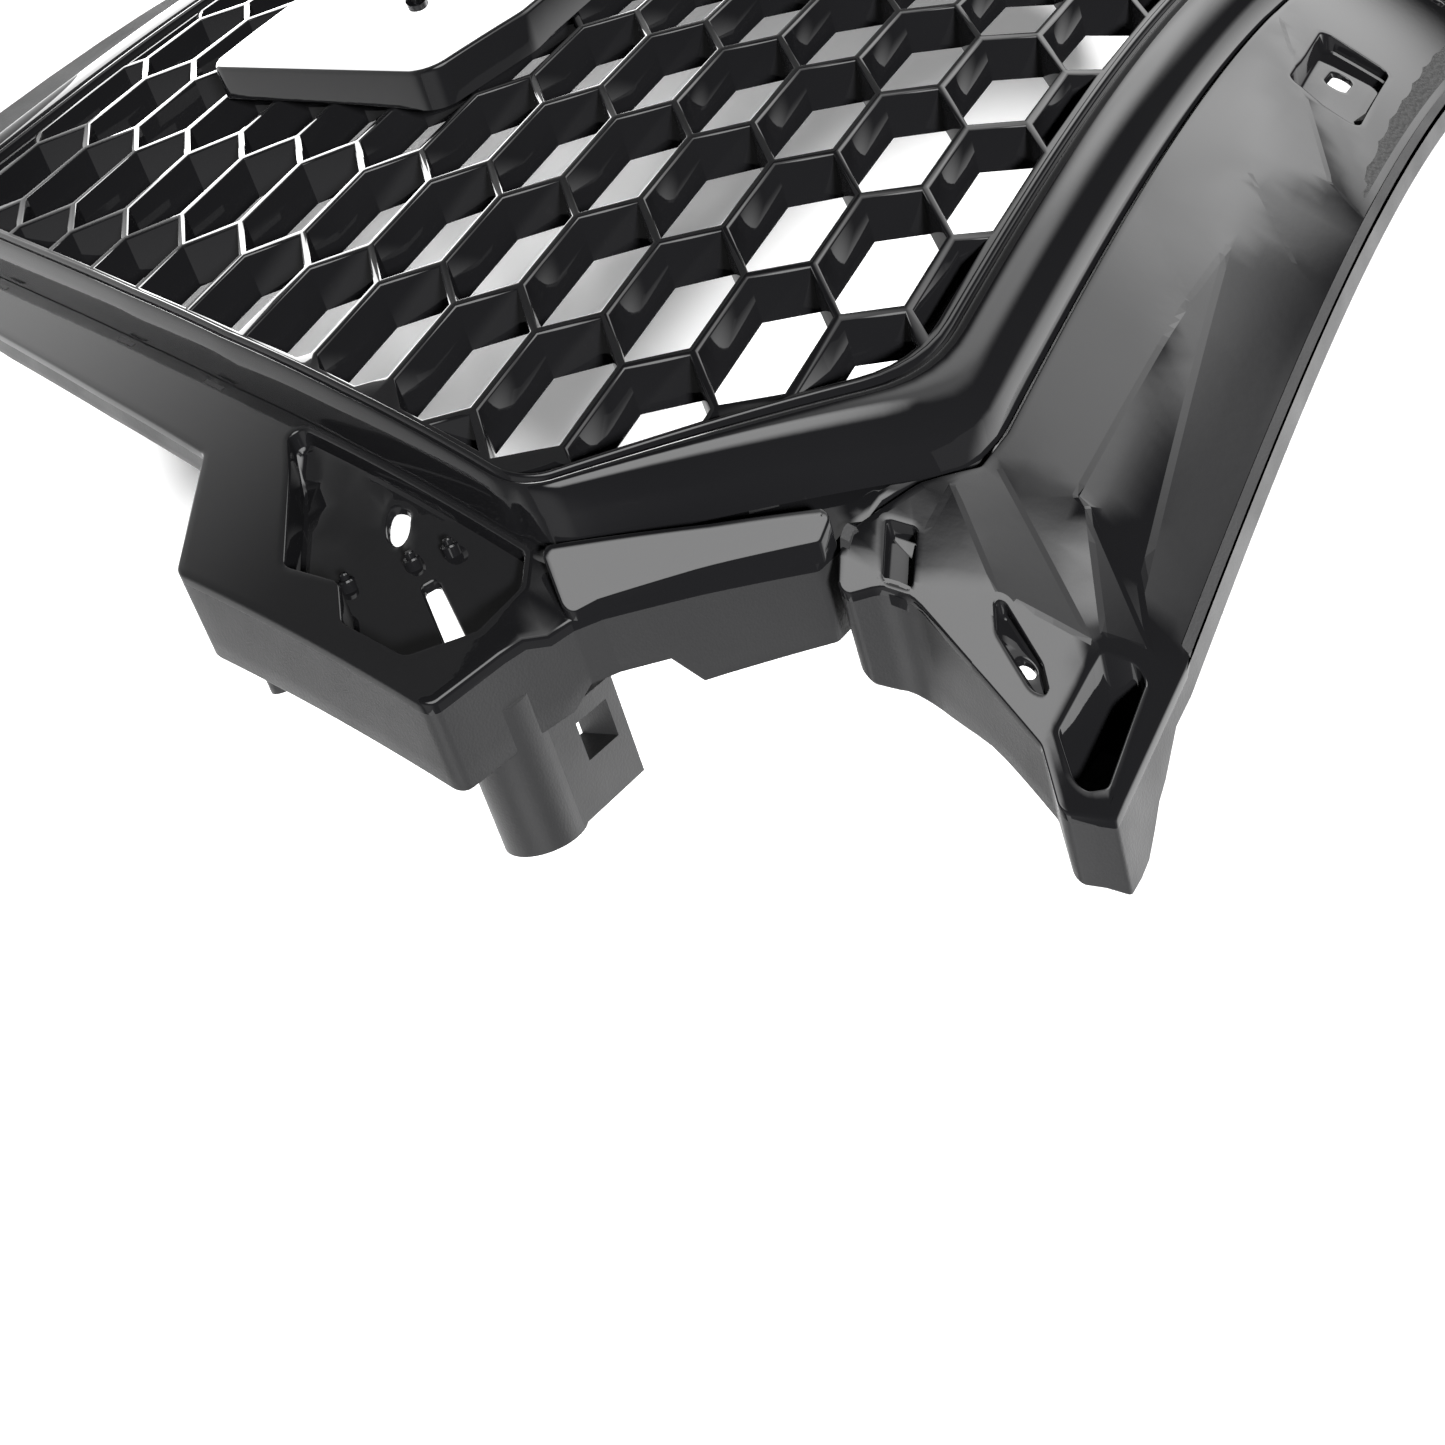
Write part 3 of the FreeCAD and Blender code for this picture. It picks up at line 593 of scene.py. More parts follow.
    def make(self, name: str, outline: Loop, cuts: list[Cut]) -> bpy.types.Object:
        """Builds the shell.

        Args:
            name: Name of the piece.
            outline: Outer outline.
            cuts: Openings and pockets.

        Returns:
            The new object.
        """
        inset = Plan.moved(outline, self.skin)
        holes = [Plan.moved(c.outline, -self.skin) for c in cuts]
        fronts, backs = self.sheet(inset, holes, self.depth, self.creases)
        top = self.roundover(fronts[0], outline, self.depth, 1)
        low = self.level(outline, self.bottom)
        inner = self.level(inset, self.bottom)
        self.build.band(low, top)
        self.build.band(inner, low)
        self.build.band(backs[0], inner)
        self.cuts(cuts, fronts[1:], backs[1:], self.depth)
        return self.build.piece(name)


@dataclass
class WallBand:
    """A wall that runs round a moulding's outline behind its face."""

    outline: Loop
    top: Depth
    bottom: Depth
    thick: float = 3.0
    foot: float = 1.0
    soften: float = 0.3
    steps: int = 4

    def make(self, name: str) -> bpy.types.Object:
        """Builds the wall.

        Args:
            name: Name of the piece.

        Returns:
            The new object.
        """
        build = Builder()
        rings = []
        edge = self.foot * self.soften
        for k in range(self.steps + 1):
            share = k / self.steps
            rings.append(self.level(build, 0.0, lambda x, z, t=share: self.top(x, z) * (1 - t)
                                    + (self.bottom(x, z) - self.foot) * t))
        rings.append(self.level(build, edge, lambda x, z: self.bottom(x, z) - edge))
        rings.append(self.level(build, self.foot, self.bottom))
        rings.append(self.level(build, self.thick, self.bottom))
        rings.append(self.level(build, self.thick, self.top))
        for here, ahead in zip(rings, rings[1:] + [rings[0]]):
            build.band(ahead, here)
        return build.piece(name)

    def level(self, build: Builder, inward: float, depth: Depth) -> list[int]:
        """Adds the outline, moved inwards, at a depth."""
        return build.ring([DRAWING.place(x, z, depth(u, w))
                           for (x, z), (u, w) in zip(Plan.moved(self.outline, inward), self.outline)])


# ---------------------------------------------------------------- finishes
class Slot(Enum):
    """Material slots of the record."""

    GLOSS = "gloss_black"
    GRAIN = "grained_black"
    SATIN = "satin_black"
    STEEL = "zinc_steel"
    FOAM = "foam"


@dataclass(frozen=True)
class Finish:
    """A moulded or plated finish with a little variation in colour, gloss and surface."""

    slot: Slot
    dark: tuple[float, float, float]
    light: tuple[float, float, float]
    rough_low: float
    rough_high: float
    grain_size: float
    grain_height: float
    grain_strength: float
    metallic: float = 0.0
    specular: float = 0.5
    cells: bool = False
    broad_scale: float = 9.0
    medium_scale: float = 38.0
    noise_low: float = 0.3
    noise_high: float = 0.7

    def material(self) -> bpy.types.Material:
        """The Blender material, made once.

        Returns:
            The material.
        """
        name = f"finish_{self.slot.value}"
        if name in bpy.data.materials:
            return bpy.data.materials[name]
        made = bpy.data.materials.new(name)
        made.use_nodes = True
        nodes = made.node_tree.nodes
        link = made.node_tree.links.new
        shader = nodes["Principled BSDF"]
        shader.inputs["Metallic"].default_value = self.metallic
        shader.inputs["Specular IOR Level"].default_value = self.specular
        coords = nodes.new("ShaderNodeTexCoord")
        broad = self.noise(nodes, link, coords, self.broad_scale, 3.0)
        colour = nodes.new("ShaderNodeMix")
        colour.data_type = "RGBA"
        colour.inputs["A"].default_value = (*self.dark, 1.0)
        colour.inputs["B"].default_value = (*self.light, 1.0)
        link(broad.outputs["Fac"], colour.inputs["Factor"])
        link(colour.outputs["Result"], shader.inputs["Base Color"])
        medium = self.noise(nodes, link, coords, self.medium_scale, 4.0)
        rough = nodes.new("ShaderNodeMapRange")
        rough.inputs["From Min"].default_value = self.noise_low
        rough.inputs["From Max"].default_value = self.noise_high
        rough.inputs["To Min"].default_value = self.rough_low
        rough.inputs["To Max"].default_value = self.rough_high
        link(medium.outputs["Fac"], rough.inputs["Value"])
        link(rough.outputs["Result"], shader.inputs["Roughness"])
        bump = nodes.new("ShaderNodeBump")
        bump.inputs["Strength"].default_value = self.grain_strength
        bump.inputs["Distance"].default_value = self.grain_height
        if self.cells:
            fine = nodes.new("ShaderNodeTexVoronoi")
            fine.inputs["Scale"].default_value = 1 / self.grain_size
            link(coords.outputs["Object"], fine.inputs["Vector"])
            link(fine.outputs["Distance"], bump.inputs["Height"])
        else:
            fine = self.noise(nodes, link, coords, 1 / self.grain_size, 2.0)
            link(fine.outputs["Fac"], bump.inputs["Height"])
        link(bump.outputs["Normal"], shader.inputs["Normal"])
        return made

    @staticmethod
    def noise(nodes: bpy.types.Nodes, link: Callable, coords: bpy.types.Node, scale: float,
              detail: float) -> bpy.types.Node:
        """A noise texture in object space.

        Args:
            nodes: Nodes of the material.
            link: Function that joins two sockets.
            coords: Texture coordinates.
            scale: Waves in a metre.
            detail: Octaves.

        Returns:
            The noise node.
        """
        made = nodes.new("ShaderNodeTexNoise")
        made.inputs["Scale"].default_value = scale
        made.inputs["Detail"].default_value = detail
        link(coords.outputs["Object"], made.inputs["Vector"])
        return made

    @staticmethod
    def tidy(mesh: bpy.types.Mesh, crease: float) -> None:
        """Smooth shading with sharp edges above an angle in degrees."""
        mesh.shade_smooth()
        mesh.set_sharp_from_angle(angle=math.radians(crease))

    def dress(self, piece: bpy.types.Object) -> bpy.types.Object:
        """Gives a piece this finish."""
        piece.data.materials.clear()
        piece.data.materials.append(self.material())
        return piece


GLOSS = Finish(Slot.GLOSS, (0.004, 0.004, 0.0045), (0.007, 0.007, 0.0075), 0.02, 0.05,
               0.0035, 0.00006, 0.12, specular=0.30)
GRAIN = Finish(Slot.GRAIN, (0.014, 0.014, 0.0145), (0.020, 0.020, 0.0205), 0.40, 0.52,
               0.0008, 0.00012, 0.35, specular=0.32, cells=True)
SATIN = Finish(Slot.SATIN, (0.022, 0.022, 0.023), (0.030, 0.030, 0.031), 0.30, 0.42,
               0.0016, 0.0002, 0.25)
STEEL = Finish(Slot.STEEL, (0.50, 0.50, 0.52), (0.60, 0.60, 0.61), 0.22, 0.38,
               0.0009, 0.0001, 0.20, metallic=1.0)
FOAM = Finish(Slot.FOAM, (0.030, 0.030, 0.030), (0.050, 0.050, 0.050), 0.85, 0.95,
              0.0018, 0.0010, 0.80, cells=True)


def ride(piece: bpy.types.Object, *nodes: str) -> bpy.types.Object:
    """Fixes a piece to the part and lets it stand for CAD nodes.

    Args:
        piece: The piece.
        nodes: CAD nodes that it stands for.

    Returns:
        The piece.
    """
    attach(piece, "root")
    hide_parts(*nodes)
    return piece


def closed(piece: bpy.types.Object) -> int:
    """Number of edges of a piece that don't join exactly two faces."""
    counts: dict[tuple[int, int], int] = {}
    for polygon in piece.data.polygons:
        for key in polygon.edge_keys:
            counts[key] = counts.get(key, 0) + 1
    return sum(1 for n in counts.values() if n != 2)


# ---------------------------------------------------------------- opening
@dataclass(frozen=True)
class Opening:
    """Outline of the ring's opening: right-hand corners with radii, from the top."""

    corners: tuple = ((336.0, 98.0, 60.0), (434.5, 26.5, 15.0), (420.0, -90.0, 1500.0), (379.0, -283.0, 34.0))

    def loop(self, grow: float = 0.0, step: float = 9.0) -> Loop:
        """The outline, moved outwards.

        Args:
            grow: Distance outwards.
            step: Longest edge.

        Returns:
            The outline, counter-clockwise.
        """
        plain = Plan.dense(Plan.rounded(Plan.mirrored(self.corners), step=6.0), step)
        return Plan.moved(plain, -grow) if grow else plain


# ---------------------------------------------------------------- honeycomb
@dataclass
class HoneycombInsert:
    """Stretched six-sided cells with rounded front edges and drafted walls."""

    opening: Opening
    pitch: float = 50.0
    height: float = 28.9
    long_edge: float = 34.5
    wall: float = 2.9
    back_wall: float = 4.0
    deep: float = 13.8
    round_edge: float = 0.8
    border: float = 3.0
    rim_depth: float = 8.4
    rim_width: float = 0.8
    smallest: float = 60.0
    closest: float = 1.6
    gap: float = 0.4
    soften: float = 0.3
    rows: tuple[int, int] = (-11, 6)

    def cell(self, x: float, z: float) -> Loop:
        """One cell, shrunk by half a wall on each side.

        Args:
            x: Centre across.
            z: Centre height.

        Returns:
            Its outline.
        """
        half = self.long_edge / 2
        point = self.pitch - half
        run = (point - half) / (self.height / 2)
        up = self.height / 2 - self.wall / 2
        tip = point - self.wall / 2 * math.hypot(1, run)
        flat = tip - up * run
        ring = [(flat, up), (tip, 0), (flat, -up), (-flat, -up), (-tip, 0), (-flat, up)]
        return Plan.ccw([(x + cx, z + cz) for cx, cz in ring])

    def cells(self) -> list[Loop]:
        """Every cell inside the opening, clipped at its border."""
        window = self.opening.loop(-self.border, step=500.0)
        columns = int(self.opening.corners[1][0] / self.pitch) + 2
        found = []
        for i in range(-columns, columns + 1):
            shift = self.height / 2 if i % 2 == 0 else 0.0
            for j in range(*self.rows):
                loop = Plan.clipped(self.cell(i * self.pitch, j * self.height + shift), window)
                loop = Plan.spaced(loop, self.closest) if len(loop) > 2 else []
                if len(loop) > 2 and Plan.area(loop) > self.smallest:
                    found.append(loop)
        return found

    def make(self) -> bpy.types.Object:
        """Builds the insert.

        Returns:
            The finished piece.
        """
        build = Builder()
        holes = self.cells()
        edge = self.round_edge
        thicker = (self.back_wall - self.wall) / 2
        outer = self.opening.loop(-self.gap - edge)
        fronts = [outer] + [Plan.moved(h, -edge) for h in holes]
        backs = [self.opening.loop(self.rim_width)] + [Plan.moved(h, thicker) for h in holes]
        front = self.web(build, fronts, 0.0, False)
        back = self.web(build, backs, self.deep, True)
        last = front[0]
        for inward, depth in ((edge * self.soften + self.gap, edge * self.soften), (self.gap, edge),
                              (self.gap, self.rim_depth), (-self.rim_width, self.rim_depth)):
            loop = self.opening.loop(-inward)
            ring = build.ring([DRAWING.place(x, z, depth) for x, z in loop])
            build.band(ring, last)
            last = ring
        build.band(back[0], last)
        for hole, top, low in zip(holes, front[1:], back[1:]):
            last = top
            for inward, depth in ((-self.soften * edge, edge * self.soften), (0.0, edge)):
                ring = build.ring([DRAWING.place(x, z, depth) for x, z in Plan.moved(hole, inward)])
                build.band(last, ring)
                last = ring
            build.band(last, low)
        return ride(GLOSS.dress(build.piece("honeycomb_insert", 35.0)), "mesh_insert")

    def web(self, build: Builder, loops: list[Loop], depth: float, behind: bool) -> list[list[int]]:
        """Flat web between the cells, at one depth.

        Args:
            build: Piece that takes the faces.
            loops: Outer outline, then the cells.
            depth: Depth of the web.
            behind: True for the back.

        Returns:
            The vertex numbers of each outline.
        """
        flat, faces, rings = Plan.fill(loops)
        numbers = build.ring([DRAWING.place(x, z, depth) for x, z in flat])
        for face in faces:
            ring = [numbers[k] for k in face]
            build.faces.append(tuple(reversed(ring)) if behind else tuple(ring))
        return [[numbers[k] for k in ring] for ring in rings]


# ---------------------------------------------------------------- ring
@dataclass
class RingTrim:
    """Crowned gloss band with a fine bead along its inner edge."""

    opening: Opening
    outer: tuple = ((343.5, 116.0, 45.0), (439.0, 35.0, 14.0), (424.3, -90.0, 1500.0), (379.5, -302.0, 36.0))
    bead: float = 1.9
    crown: float = 3.8
    foot: float = 13.6
    rim_depth: float = 8.2
    bead_rise: float = 1.2
    bead_round: float = 1.3
    bead_steps: int = 6
    groove: float = 0.4
    thick: float = 2.5
    peak: float = 0.42
    crown_power: float = 2.3
    fall: float = 5.5
    fall_power: float = 1.6
    full_width: float = 12.0
    least_crown: float = 0.35
    seat: float = 6.0
    crown_steps: int = 14

    def profile(self, width: float) -> list[tuple[float, float]]:
        """Section of the ring from its back inner edge round to its back outer edge.

        Args:
            width: Width of the band here.

        Returns:
            (distance from the inner edge, depth) points.
        """
        bead = self.bead
        points = [(0.0, self.rim_depth), (0.0, -self.bead_rise)]
        for k in range(1, self.bead_steps):
            angle = math.pi * k / self.bead_steps
            points.append((bead / 2 - bead / 2 * math.cos(angle),
                           -self.bead_rise - self.bead_round * math.sin(angle)))
        points.append((bead + 0.1, -0.7))
        free = max(width - bead - 0.5, self.thick)
        share = min(1.0, free / self.full_width + self.least_crown)
        for k in range(self.crown_steps + 1):
            t = k / self.crown_steps
            lift = self.crown * (1 - (2 * abs(t - self.peak)) ** self.crown_power)
            drop = self.fall * max(0.0, t - self.peak) ** self.fall_power
            points.append((bead + self.groove + free * t, self.groove - lift * share + drop))
        points.append((bead + 0.5 + free, self.foot))
        points.append((bead + 0.5 + free - self.thick, self.foot))
        points.append((min(self.seat, bead + free - self.thick), self.rim_depth))
        return points

    def make(self) -> bpy.types.Object:
        """Builds the ring.

        Returns:
            The finished piece.
        """
        inner = self.opening.loop(0.0, step=7.0)
        outline = Plan.rounded(Plan.mirrored(self.outer), step=4.0)
        directions = np.array(Plan.moved(inner, -1.0)) - np.array(inner)
        build = Builder()
        sections = []
        for (x, z), (dx, dz) in zip(inner, directions):
            length = math.hypot(dx, dz)
            dx, dz = dx / length, dz / length
            width = self.reach((x, z), (dx, dz), outline)
            sections.append(build.ring([DRAWING.place(x + dx * s, z + dz * s, d)
                                        for s, d in self.profile(width)]))
        count = len(sections[0])
        for i, here in enumerate(sections):
            ahead = sections[(i + 1) % len(sections)]
            for k in range(count):
                n = (k + 1) % count
                build.faces.append((here[k], here[n], ahead[n], ahead[k]))
        return ride(GLOSS.dress(build.piece("ring_band", 40.0)), "ring_trim")

    @staticmethod
    def reach(start: Point, direction: Point, outline: Loop) -> float:
        """Distance from the inner edge to the outer outline.

        Args:
            start: Point on the inner edge.
            direction: Outward direction.
            outline: Outer outline.

        Returns:
            The width of the band.
        """
        best = 40.0
        for (x1, z1), (x2, z2) in zip(outline, outline[1:] + [outline[0]]):
            ex, ez = x2 - x1, z2 - z1
            base = direction[0] * ez - direction[1] * ex
            if abs(base) < 1e-9:
                continue
            along = ((x1 - start[0]) * ez - (z1 - start[1]) * ex) / base
            part = ((x1 - start[0]) * direction[1] - (z1 - start[1]) * direction[0]) / base
            if along > 0 and -1e-6 <= part <= 1 + 1e-6:
                best = min(best, along)
        return best


# ---------------------------------------------------------------- carrier
@dataclass
class CarrierFrame:
    """Black moulding behind the ring: flanges, ears with a stepped pocket, grained outer walls."""

    opening: Opening
    edge: tuple = ((396.0, -303.0), (421.0, -211.0), (438.0, -141.0), (451.0, -82.0), (493.0, -56.0),
                   (497.0, 31.0), (473.0, 37.5), (452.3, 45.0), (445.0, 49.5), (423.0, 67.5), (398.0, 89.0))
    strip: tuple = ((384.0, 92.0), (359.0, 103.0), (343.0, 114.0))
    pocket: tuple = ((430.5, -64.0), (448.0, -50.0), (477.5, -29.0), (475.0, -12.0), (486.0, -3.0),
                     (486.5, 17.0), (470.0, 28.5), (452.0, 31.0), (441.5, 26.0))
    plateau: float = 14.0
    pocket_floor: float = 26.0
    step_floor: float = 20.0
    step_line: tuple = ((446.0, 26.0), (436.5, -42.0))
    under_cover: float = 17.2
    side_wall: float = 24.0
    ear_wall: float = 41.0
    corner_wall: float = 37.0
    hole: tuple[float, float, float] = (444.0, -17.0, 4.0)
    slot: tuple = ((452.5, 0.0), (457.0, -2.0), (473.0, 18.0), (468.5, 22.0))
    pegs: tuple = ((452.0, -8.0), (446.5, 3.0), (467.0, -20.0))
    peg_steps: tuple = ((2.6, 0.0), (2.6, 3.0), (2.2, 3.5), (1.4, 3.5), (1.4, 5.0), (1.0, 5.4))
    seat_low: float = 34.0
    seat_slope: float = 4.0
    seat_high: float = 95.0
    seat_side: float = 462.0
    shelf_gap: float = 2.0
    shelf_slope: float = 7.0
    corner_low: float = 44.0
    corner_step: tuple[float, float] = (59.0, 9.0)
    corner_taper: tuple[float, float] = (64.0, 0.12)
    ear_low: float = -84.0
    ear_slope: float = 3.0
    ear_side: float = 448.0
    skin: float = 2.6
    wall_gap: float = 0.4

    def face(self, x: float, z: float) -> float:
        """Depth of the moulding's face: lower where the corner facet lies on it."""
        under = z < self.seat_high and abs(x) < self.seat_side
        share = share_along(z, self.seat_low, self.seat_slope) if under else 0.0
        return self.plateau + (self.under_cover - self.plateau) * share

    def floor(self, x: float, z: float) -> float:
        """Depth of the pocket's floor, with a shelf beside the ring."""
        (x1, z1), (x2, z2) = self.step_line
        line = x2 + (x1 - x2) * (z - z2) / (z1 - z2)
        share = share_along(abs(x) - line, self.shelf_gap, self.shelf_slope)
        return self.step_floor + (self.pocket_floor - self.step_floor) * share

    def bottom(self, x: float, z: float) -> float:
        """Back edge of the outer walls: deep round the ears, wavy under the corner facet."""
        if z > self.corner_low:
            step = self.corner_step[1] if z > self.corner_step[0] else 0.0
            return self.corner_wall + step - self.corner_taper[1] * max(0.0, z - self.corner_taper[0])
        share = share_along(z, self.ear_low, self.ear_slope) if abs(x) > self.ear_side else 0.0
        return self.side_wall + (self.ear_wall - self.side_wall) * share

    def make(self) -> list[bpy.types.Object]:
        """Builds the carrier's face and its outer wall.

        Returns:
            The finished pieces.
        """
        half = [(x, z, 4.5) for x, z in self.edge] + [(x, z, 5.0) for x, z in self.strip]
        outline = Plan.dense(Plan.rounded(Plan.mirrored(half)), 8.0)
        cuts = [Cut(self.opening.loop(-3.0, step=12.0))]
        for side in (list, Plan.flip):
            inner = [Cut(side(Plan.circle(*self.hole, 24))), Cut(Plan.shaped(self.slot, 1.5, 5.0, side))]
            cuts.append(Cut(Plan.shaped(self.pocket, 3.5, 5.0, side), self.floor, inner))

        def back(x: float, z: float) -> float:
            """Where the face piece ends and the wall begins."""
            return self.face(x, z) + self.skin + self.wall_gap

        shell = Shell(DRAWING.face, self.face, back, skin=self.skin, edge=0.9, grid=8.0)
        face = ride(GLOSS.dress(shell.make("carrier_face", outline, cuts)), "carrier_frame")
        band = WallBand(outline, back, self.bottom)
        wall = ride(GRAIN.dress(band.make("carrier_wall")), "carrier_frame")
        return [face, wall] + [self.peg(side, number) for side in (1, -1) for number in range(len(self.pegs))]

    def peg(self, side: int, number: int) -> bpy.types.Object:
        """A small stepped peg on the pocket's floor.

        Args:
            side: +1 for the right ear, -1 for the left.
            number: Which peg.

        Returns:
            The finished piece.
        """
        x, z = self.pegs[number]
        low = self.floor(x, z) + 0.6
        build = Builder()
        last: list[int] = []
        for radius, height in self.peg_steps:
            loop = Plan.circle(side * x, z, radius, 20)
            ring = build.ring([DRAWING.row(u, DRAWING.face(x, z) + (low - height), w) for u, w in loop])
            if last:
                build.band(ring, last)
            else:
                build.fan(ring, flip=True)
            last = ring
        build.fan(last)
        name = f"pocket_peg_{'right' if side > 0 else 'left'}_{number + 1}"
        return ride(GLOSS.dress(build.piece(name)), "carrier_frame")


# ---------------------------------------------------------------- top panel
@dataclass
class TopPanel:
    """Faceted gloss wing above the ring, with tip pockets, bosses and windows."""

    edge: tuple = ((404.0, 97.0), (391.0, 109.0), (400.0, 131.0), (408.0, 151.0), (420.0, 159.0),
                   (412.0, 170.0), (361.0, 173.0))
    seam: tuple = ((330.0, 117.5), (346.0, 115.5), (361.0, 104.0), (385.5, 92.5), (393.5, 93.5))
    plain: float = 11.0
    wall_deep: float = 24.0
    tip_deep: float = 40.8
    web: float = 14.0
    boldness: float = 1.7
    pocket: tuple = ((377.0, 157.5), (370.0, 167.0), (406.0, 166.5), (412.0, 161.0), (402.0, 153.5))
    pocket_floor: float = 33.0
    well: tuple = ((379.0, 131.0), (389.0, 134.5), (397.0, 146.0), (395.5, 149.5), (389.5, 146.0))
    well_floor: float = 15.5
    boss: tuple[float, float, float] = (391.5, 142.0, 2.4)
    window: tuple = ((50.0, 132.0), (103.0, 135.0), (103.0, 157.0), (50.0, 155.0))
    window_floor: float = 19.0
    recess: tuple = ((376.5, 100.5), (392.5, 105.5), (390.5, 112.5), (374.0, 108.0))
    recess_floor: float = 19.0
    tab_slot: tuple = ((63.5, 138.5), (76.5, 138.5), (76.5, 145.5), (63.5, 145.5))
    seam_side: float = 380.0
    seam_high: float = 119.0
    seam_deep: float = 17.0
    end_start: float = 372.0
    end_length: float = 26.0
    wave_height: float = 1.6
    wave_length: float = 6.0
    wave_start: float = 385.0
    wave_low: float = 165.0
    web_start: float = 384.0
    web_middle: float = 112.0
    web_spread: float = 13.0
    notch_side: float = 392.0
    notch_high: float = 110.0
    notch_radius: float = 11.0
    skin: float = 2.2
    wall_gap: float = 0.4
    facets: dict = field(default_factory=lambda: {
        "seam_middle": (0.0, 117.5, 0.0), "seam_in": (54.0, 117.5, 0.0), "seam_mid": (216.0, 118.5, 0.0),
        "seam_out": (340.0, 116.5, 0.0), "seam_end": (361.0, 104.0, -0.6), "clip_low": (392.0, 93.0, -2.5),
        "corner": (404.0, 97.0, -4.0), "side": (391.0, 109.0, -2.4), "side_mid": (400.0, 131.0, -2.8),
        "side_top": (408.0, 151.0, -2.8), "tip": (420.0, 159.0, -4.0), "tip_top": (412.0, 170.0, -3.5),
        "rim_out": (361.0, 173.0, -2.0), "rim_mid": (202.0, 172.5, -2.0), "rim_in": (152.0, 172.5, -2.2),
        "rim_middle": (0.0, 172.5, -2.4), "peak_in": (150.0, 160.0, 0.4), "valley": (246.0, 143.0, 1.4),
        "band_start": (214.0, 146.0, 1.8), "band_low": (340.0, 140.0, 2.4), "band_top": (350.0, 159.0, -0.8),
        "fold": (175.0, 142.0, 2.2), "fold_top": (199.0, 161.0, -0.2), "ridge_top": (377.0, 155.0, 1.4),
        "wedge": (342.0, 144.0, 3.4), "wedge_right": (366.0, 166.0, 0.2), "wedge_left": (373.0, 157.0, 1.6),
        "slope": (380.0, 132.0, 0.4), "slope_low": (357.0, 112.0, 0.2),
    })
    creases: tuple = (("seam_out", "ridge_top"), ("seam_mid", "valley"), ("valley", "band_low"),
                      ("band_start", "band_top"), ("band_start", "valley"), ("fold", "fold_top"),
                      ("seam_in", "peak_in"), ("peak_in", "rim_in"), ("wedge", "wedge_right"),
                      ("wedge", "wedge_left"), ("wedge_left", "wedge_right"), ("slope_low", "slope"),
                      ("slope", "side_mid"), ("slope", "ridge_top"), ("slope_low", "side"),
                      ("band_low", "wedge"), ("band_top", "wedge_right"))

    def bottom(self, x: float, z: float) -> float:
        """Back edge of the panel's walls: deep at the ends, shallow along the top."""
        side = abs(x)
        if z < self.seam_high and side < self.seam_side:
            return self.seam_deep
        share = share_along(side, self.end_start, self.end_length)
        wavy = side > self.wave_start and z > self.wave_low
        wave = self.wave_height * math.sin(side / self.wave_length) if wavy else 0.0
        middle = math.exp(-((z - self.web_middle) / self.web_spread) ** 2)
        web = self.web * middle if side > self.web_start else 0.0
        return self.wall_deep + (self.tip_deep - self.wall_deep) * share - wave + web

    @staticmethod
    def sharpen(mesh: bpy.types.Mesh, lines: list[tuple[Point, Point]], close: float) -> None:
        """Keeps the edges along the crease lines sharp.

        Args:
            mesh: The panel's mesh.
            lines: Creases as plan segments.
            close: How near its line an edge must be.
        """
        plan = np.array([DRAWING.plan(v.co) for v in mesh.vertices])
        ends = np.array([e.vertices[:] for e in mesh.edges])
        sharp = np.array([e.use_edge_sharp for e in mesh.edges])
        for a, b in lines:
            near = Plan.distance(plan, (a, b), closed=False) < close
            sharp |= near[ends[:, 0]] & near[ends[:, 1]]
        for edge, hard in zip(mesh.edges, sharp):
            edge.use_edge_sharp = bool(hard)

    def make(self) -> list[bpy.types.Object]:
        """Builds the panel's face and its wall.

        Returns:
            The finished pieces.
        """
        relief = Relief(self.facets, list(self.creases))
        half = [(x, z, self.notch_radius if x < self.notch_side and z < self.notch_high else 2.5)
                for x, z in reversed(self.edge)]
        half += [(x, z, 4.0) for x, z in reversed(self.seam)]
        outline = Plan.dense(Plan.rounded(Plan.mirrored(half)), 6.0)
        cuts = []
        for side in (list, Plan.flip):
            cuts.append(Cut(Plan.shaped(self.pocket, 3.2, 6.0, side), lambda x, z: self.pocket_floor))
            cuts.append(Cut(Plan.shaped(self.recess, 1.5, 5.0, side), lambda x, z: self.recess_floor))
            slot = Cut(Plan.shaped(self.tab_slot, 3.4, 4.0, side))
            window = Plan.shaped(self.window, 4.0, 8.0, side)
            cuts.append(Cut(window, lambda x, z: self.window_floor, [slot]))
            boss = Cut(side(Plan.circle(*self.boss, 24)))
            well = Plan.shaped(self.well, 3.0, 4.0, side)
            cuts.append(Cut(well, lambda x, z: self.well_floor, [boss]))

        def face(x: float, z: float) -> float:
            """Depth of the faceted face."""
            return self.plain - relief.rise(x, z) * self.boldness

        def short(x: float, z: float) -> float:
            """Back edge of the face piece."""
            return face(x, z) + self.skin + self.wall_gap

        shell = Shell(DRAWING.face, face, short, skin=self.skin, edge=0.8, grid=7.0, creases=relief.lines())
        made = shell.make("panel_wing", outline, cuts)
        self.sharpen(made.data, relief.lines(), shell.crease_half + 0.05)
        wing = ride(GLOSS.dress(made), "top_panel")
        wall = WallBand(outline, short, self.bottom, thick=2.4).make("panel_wall")
        return [wing, ride(GRAIN.dress(wall), "top_panel")]


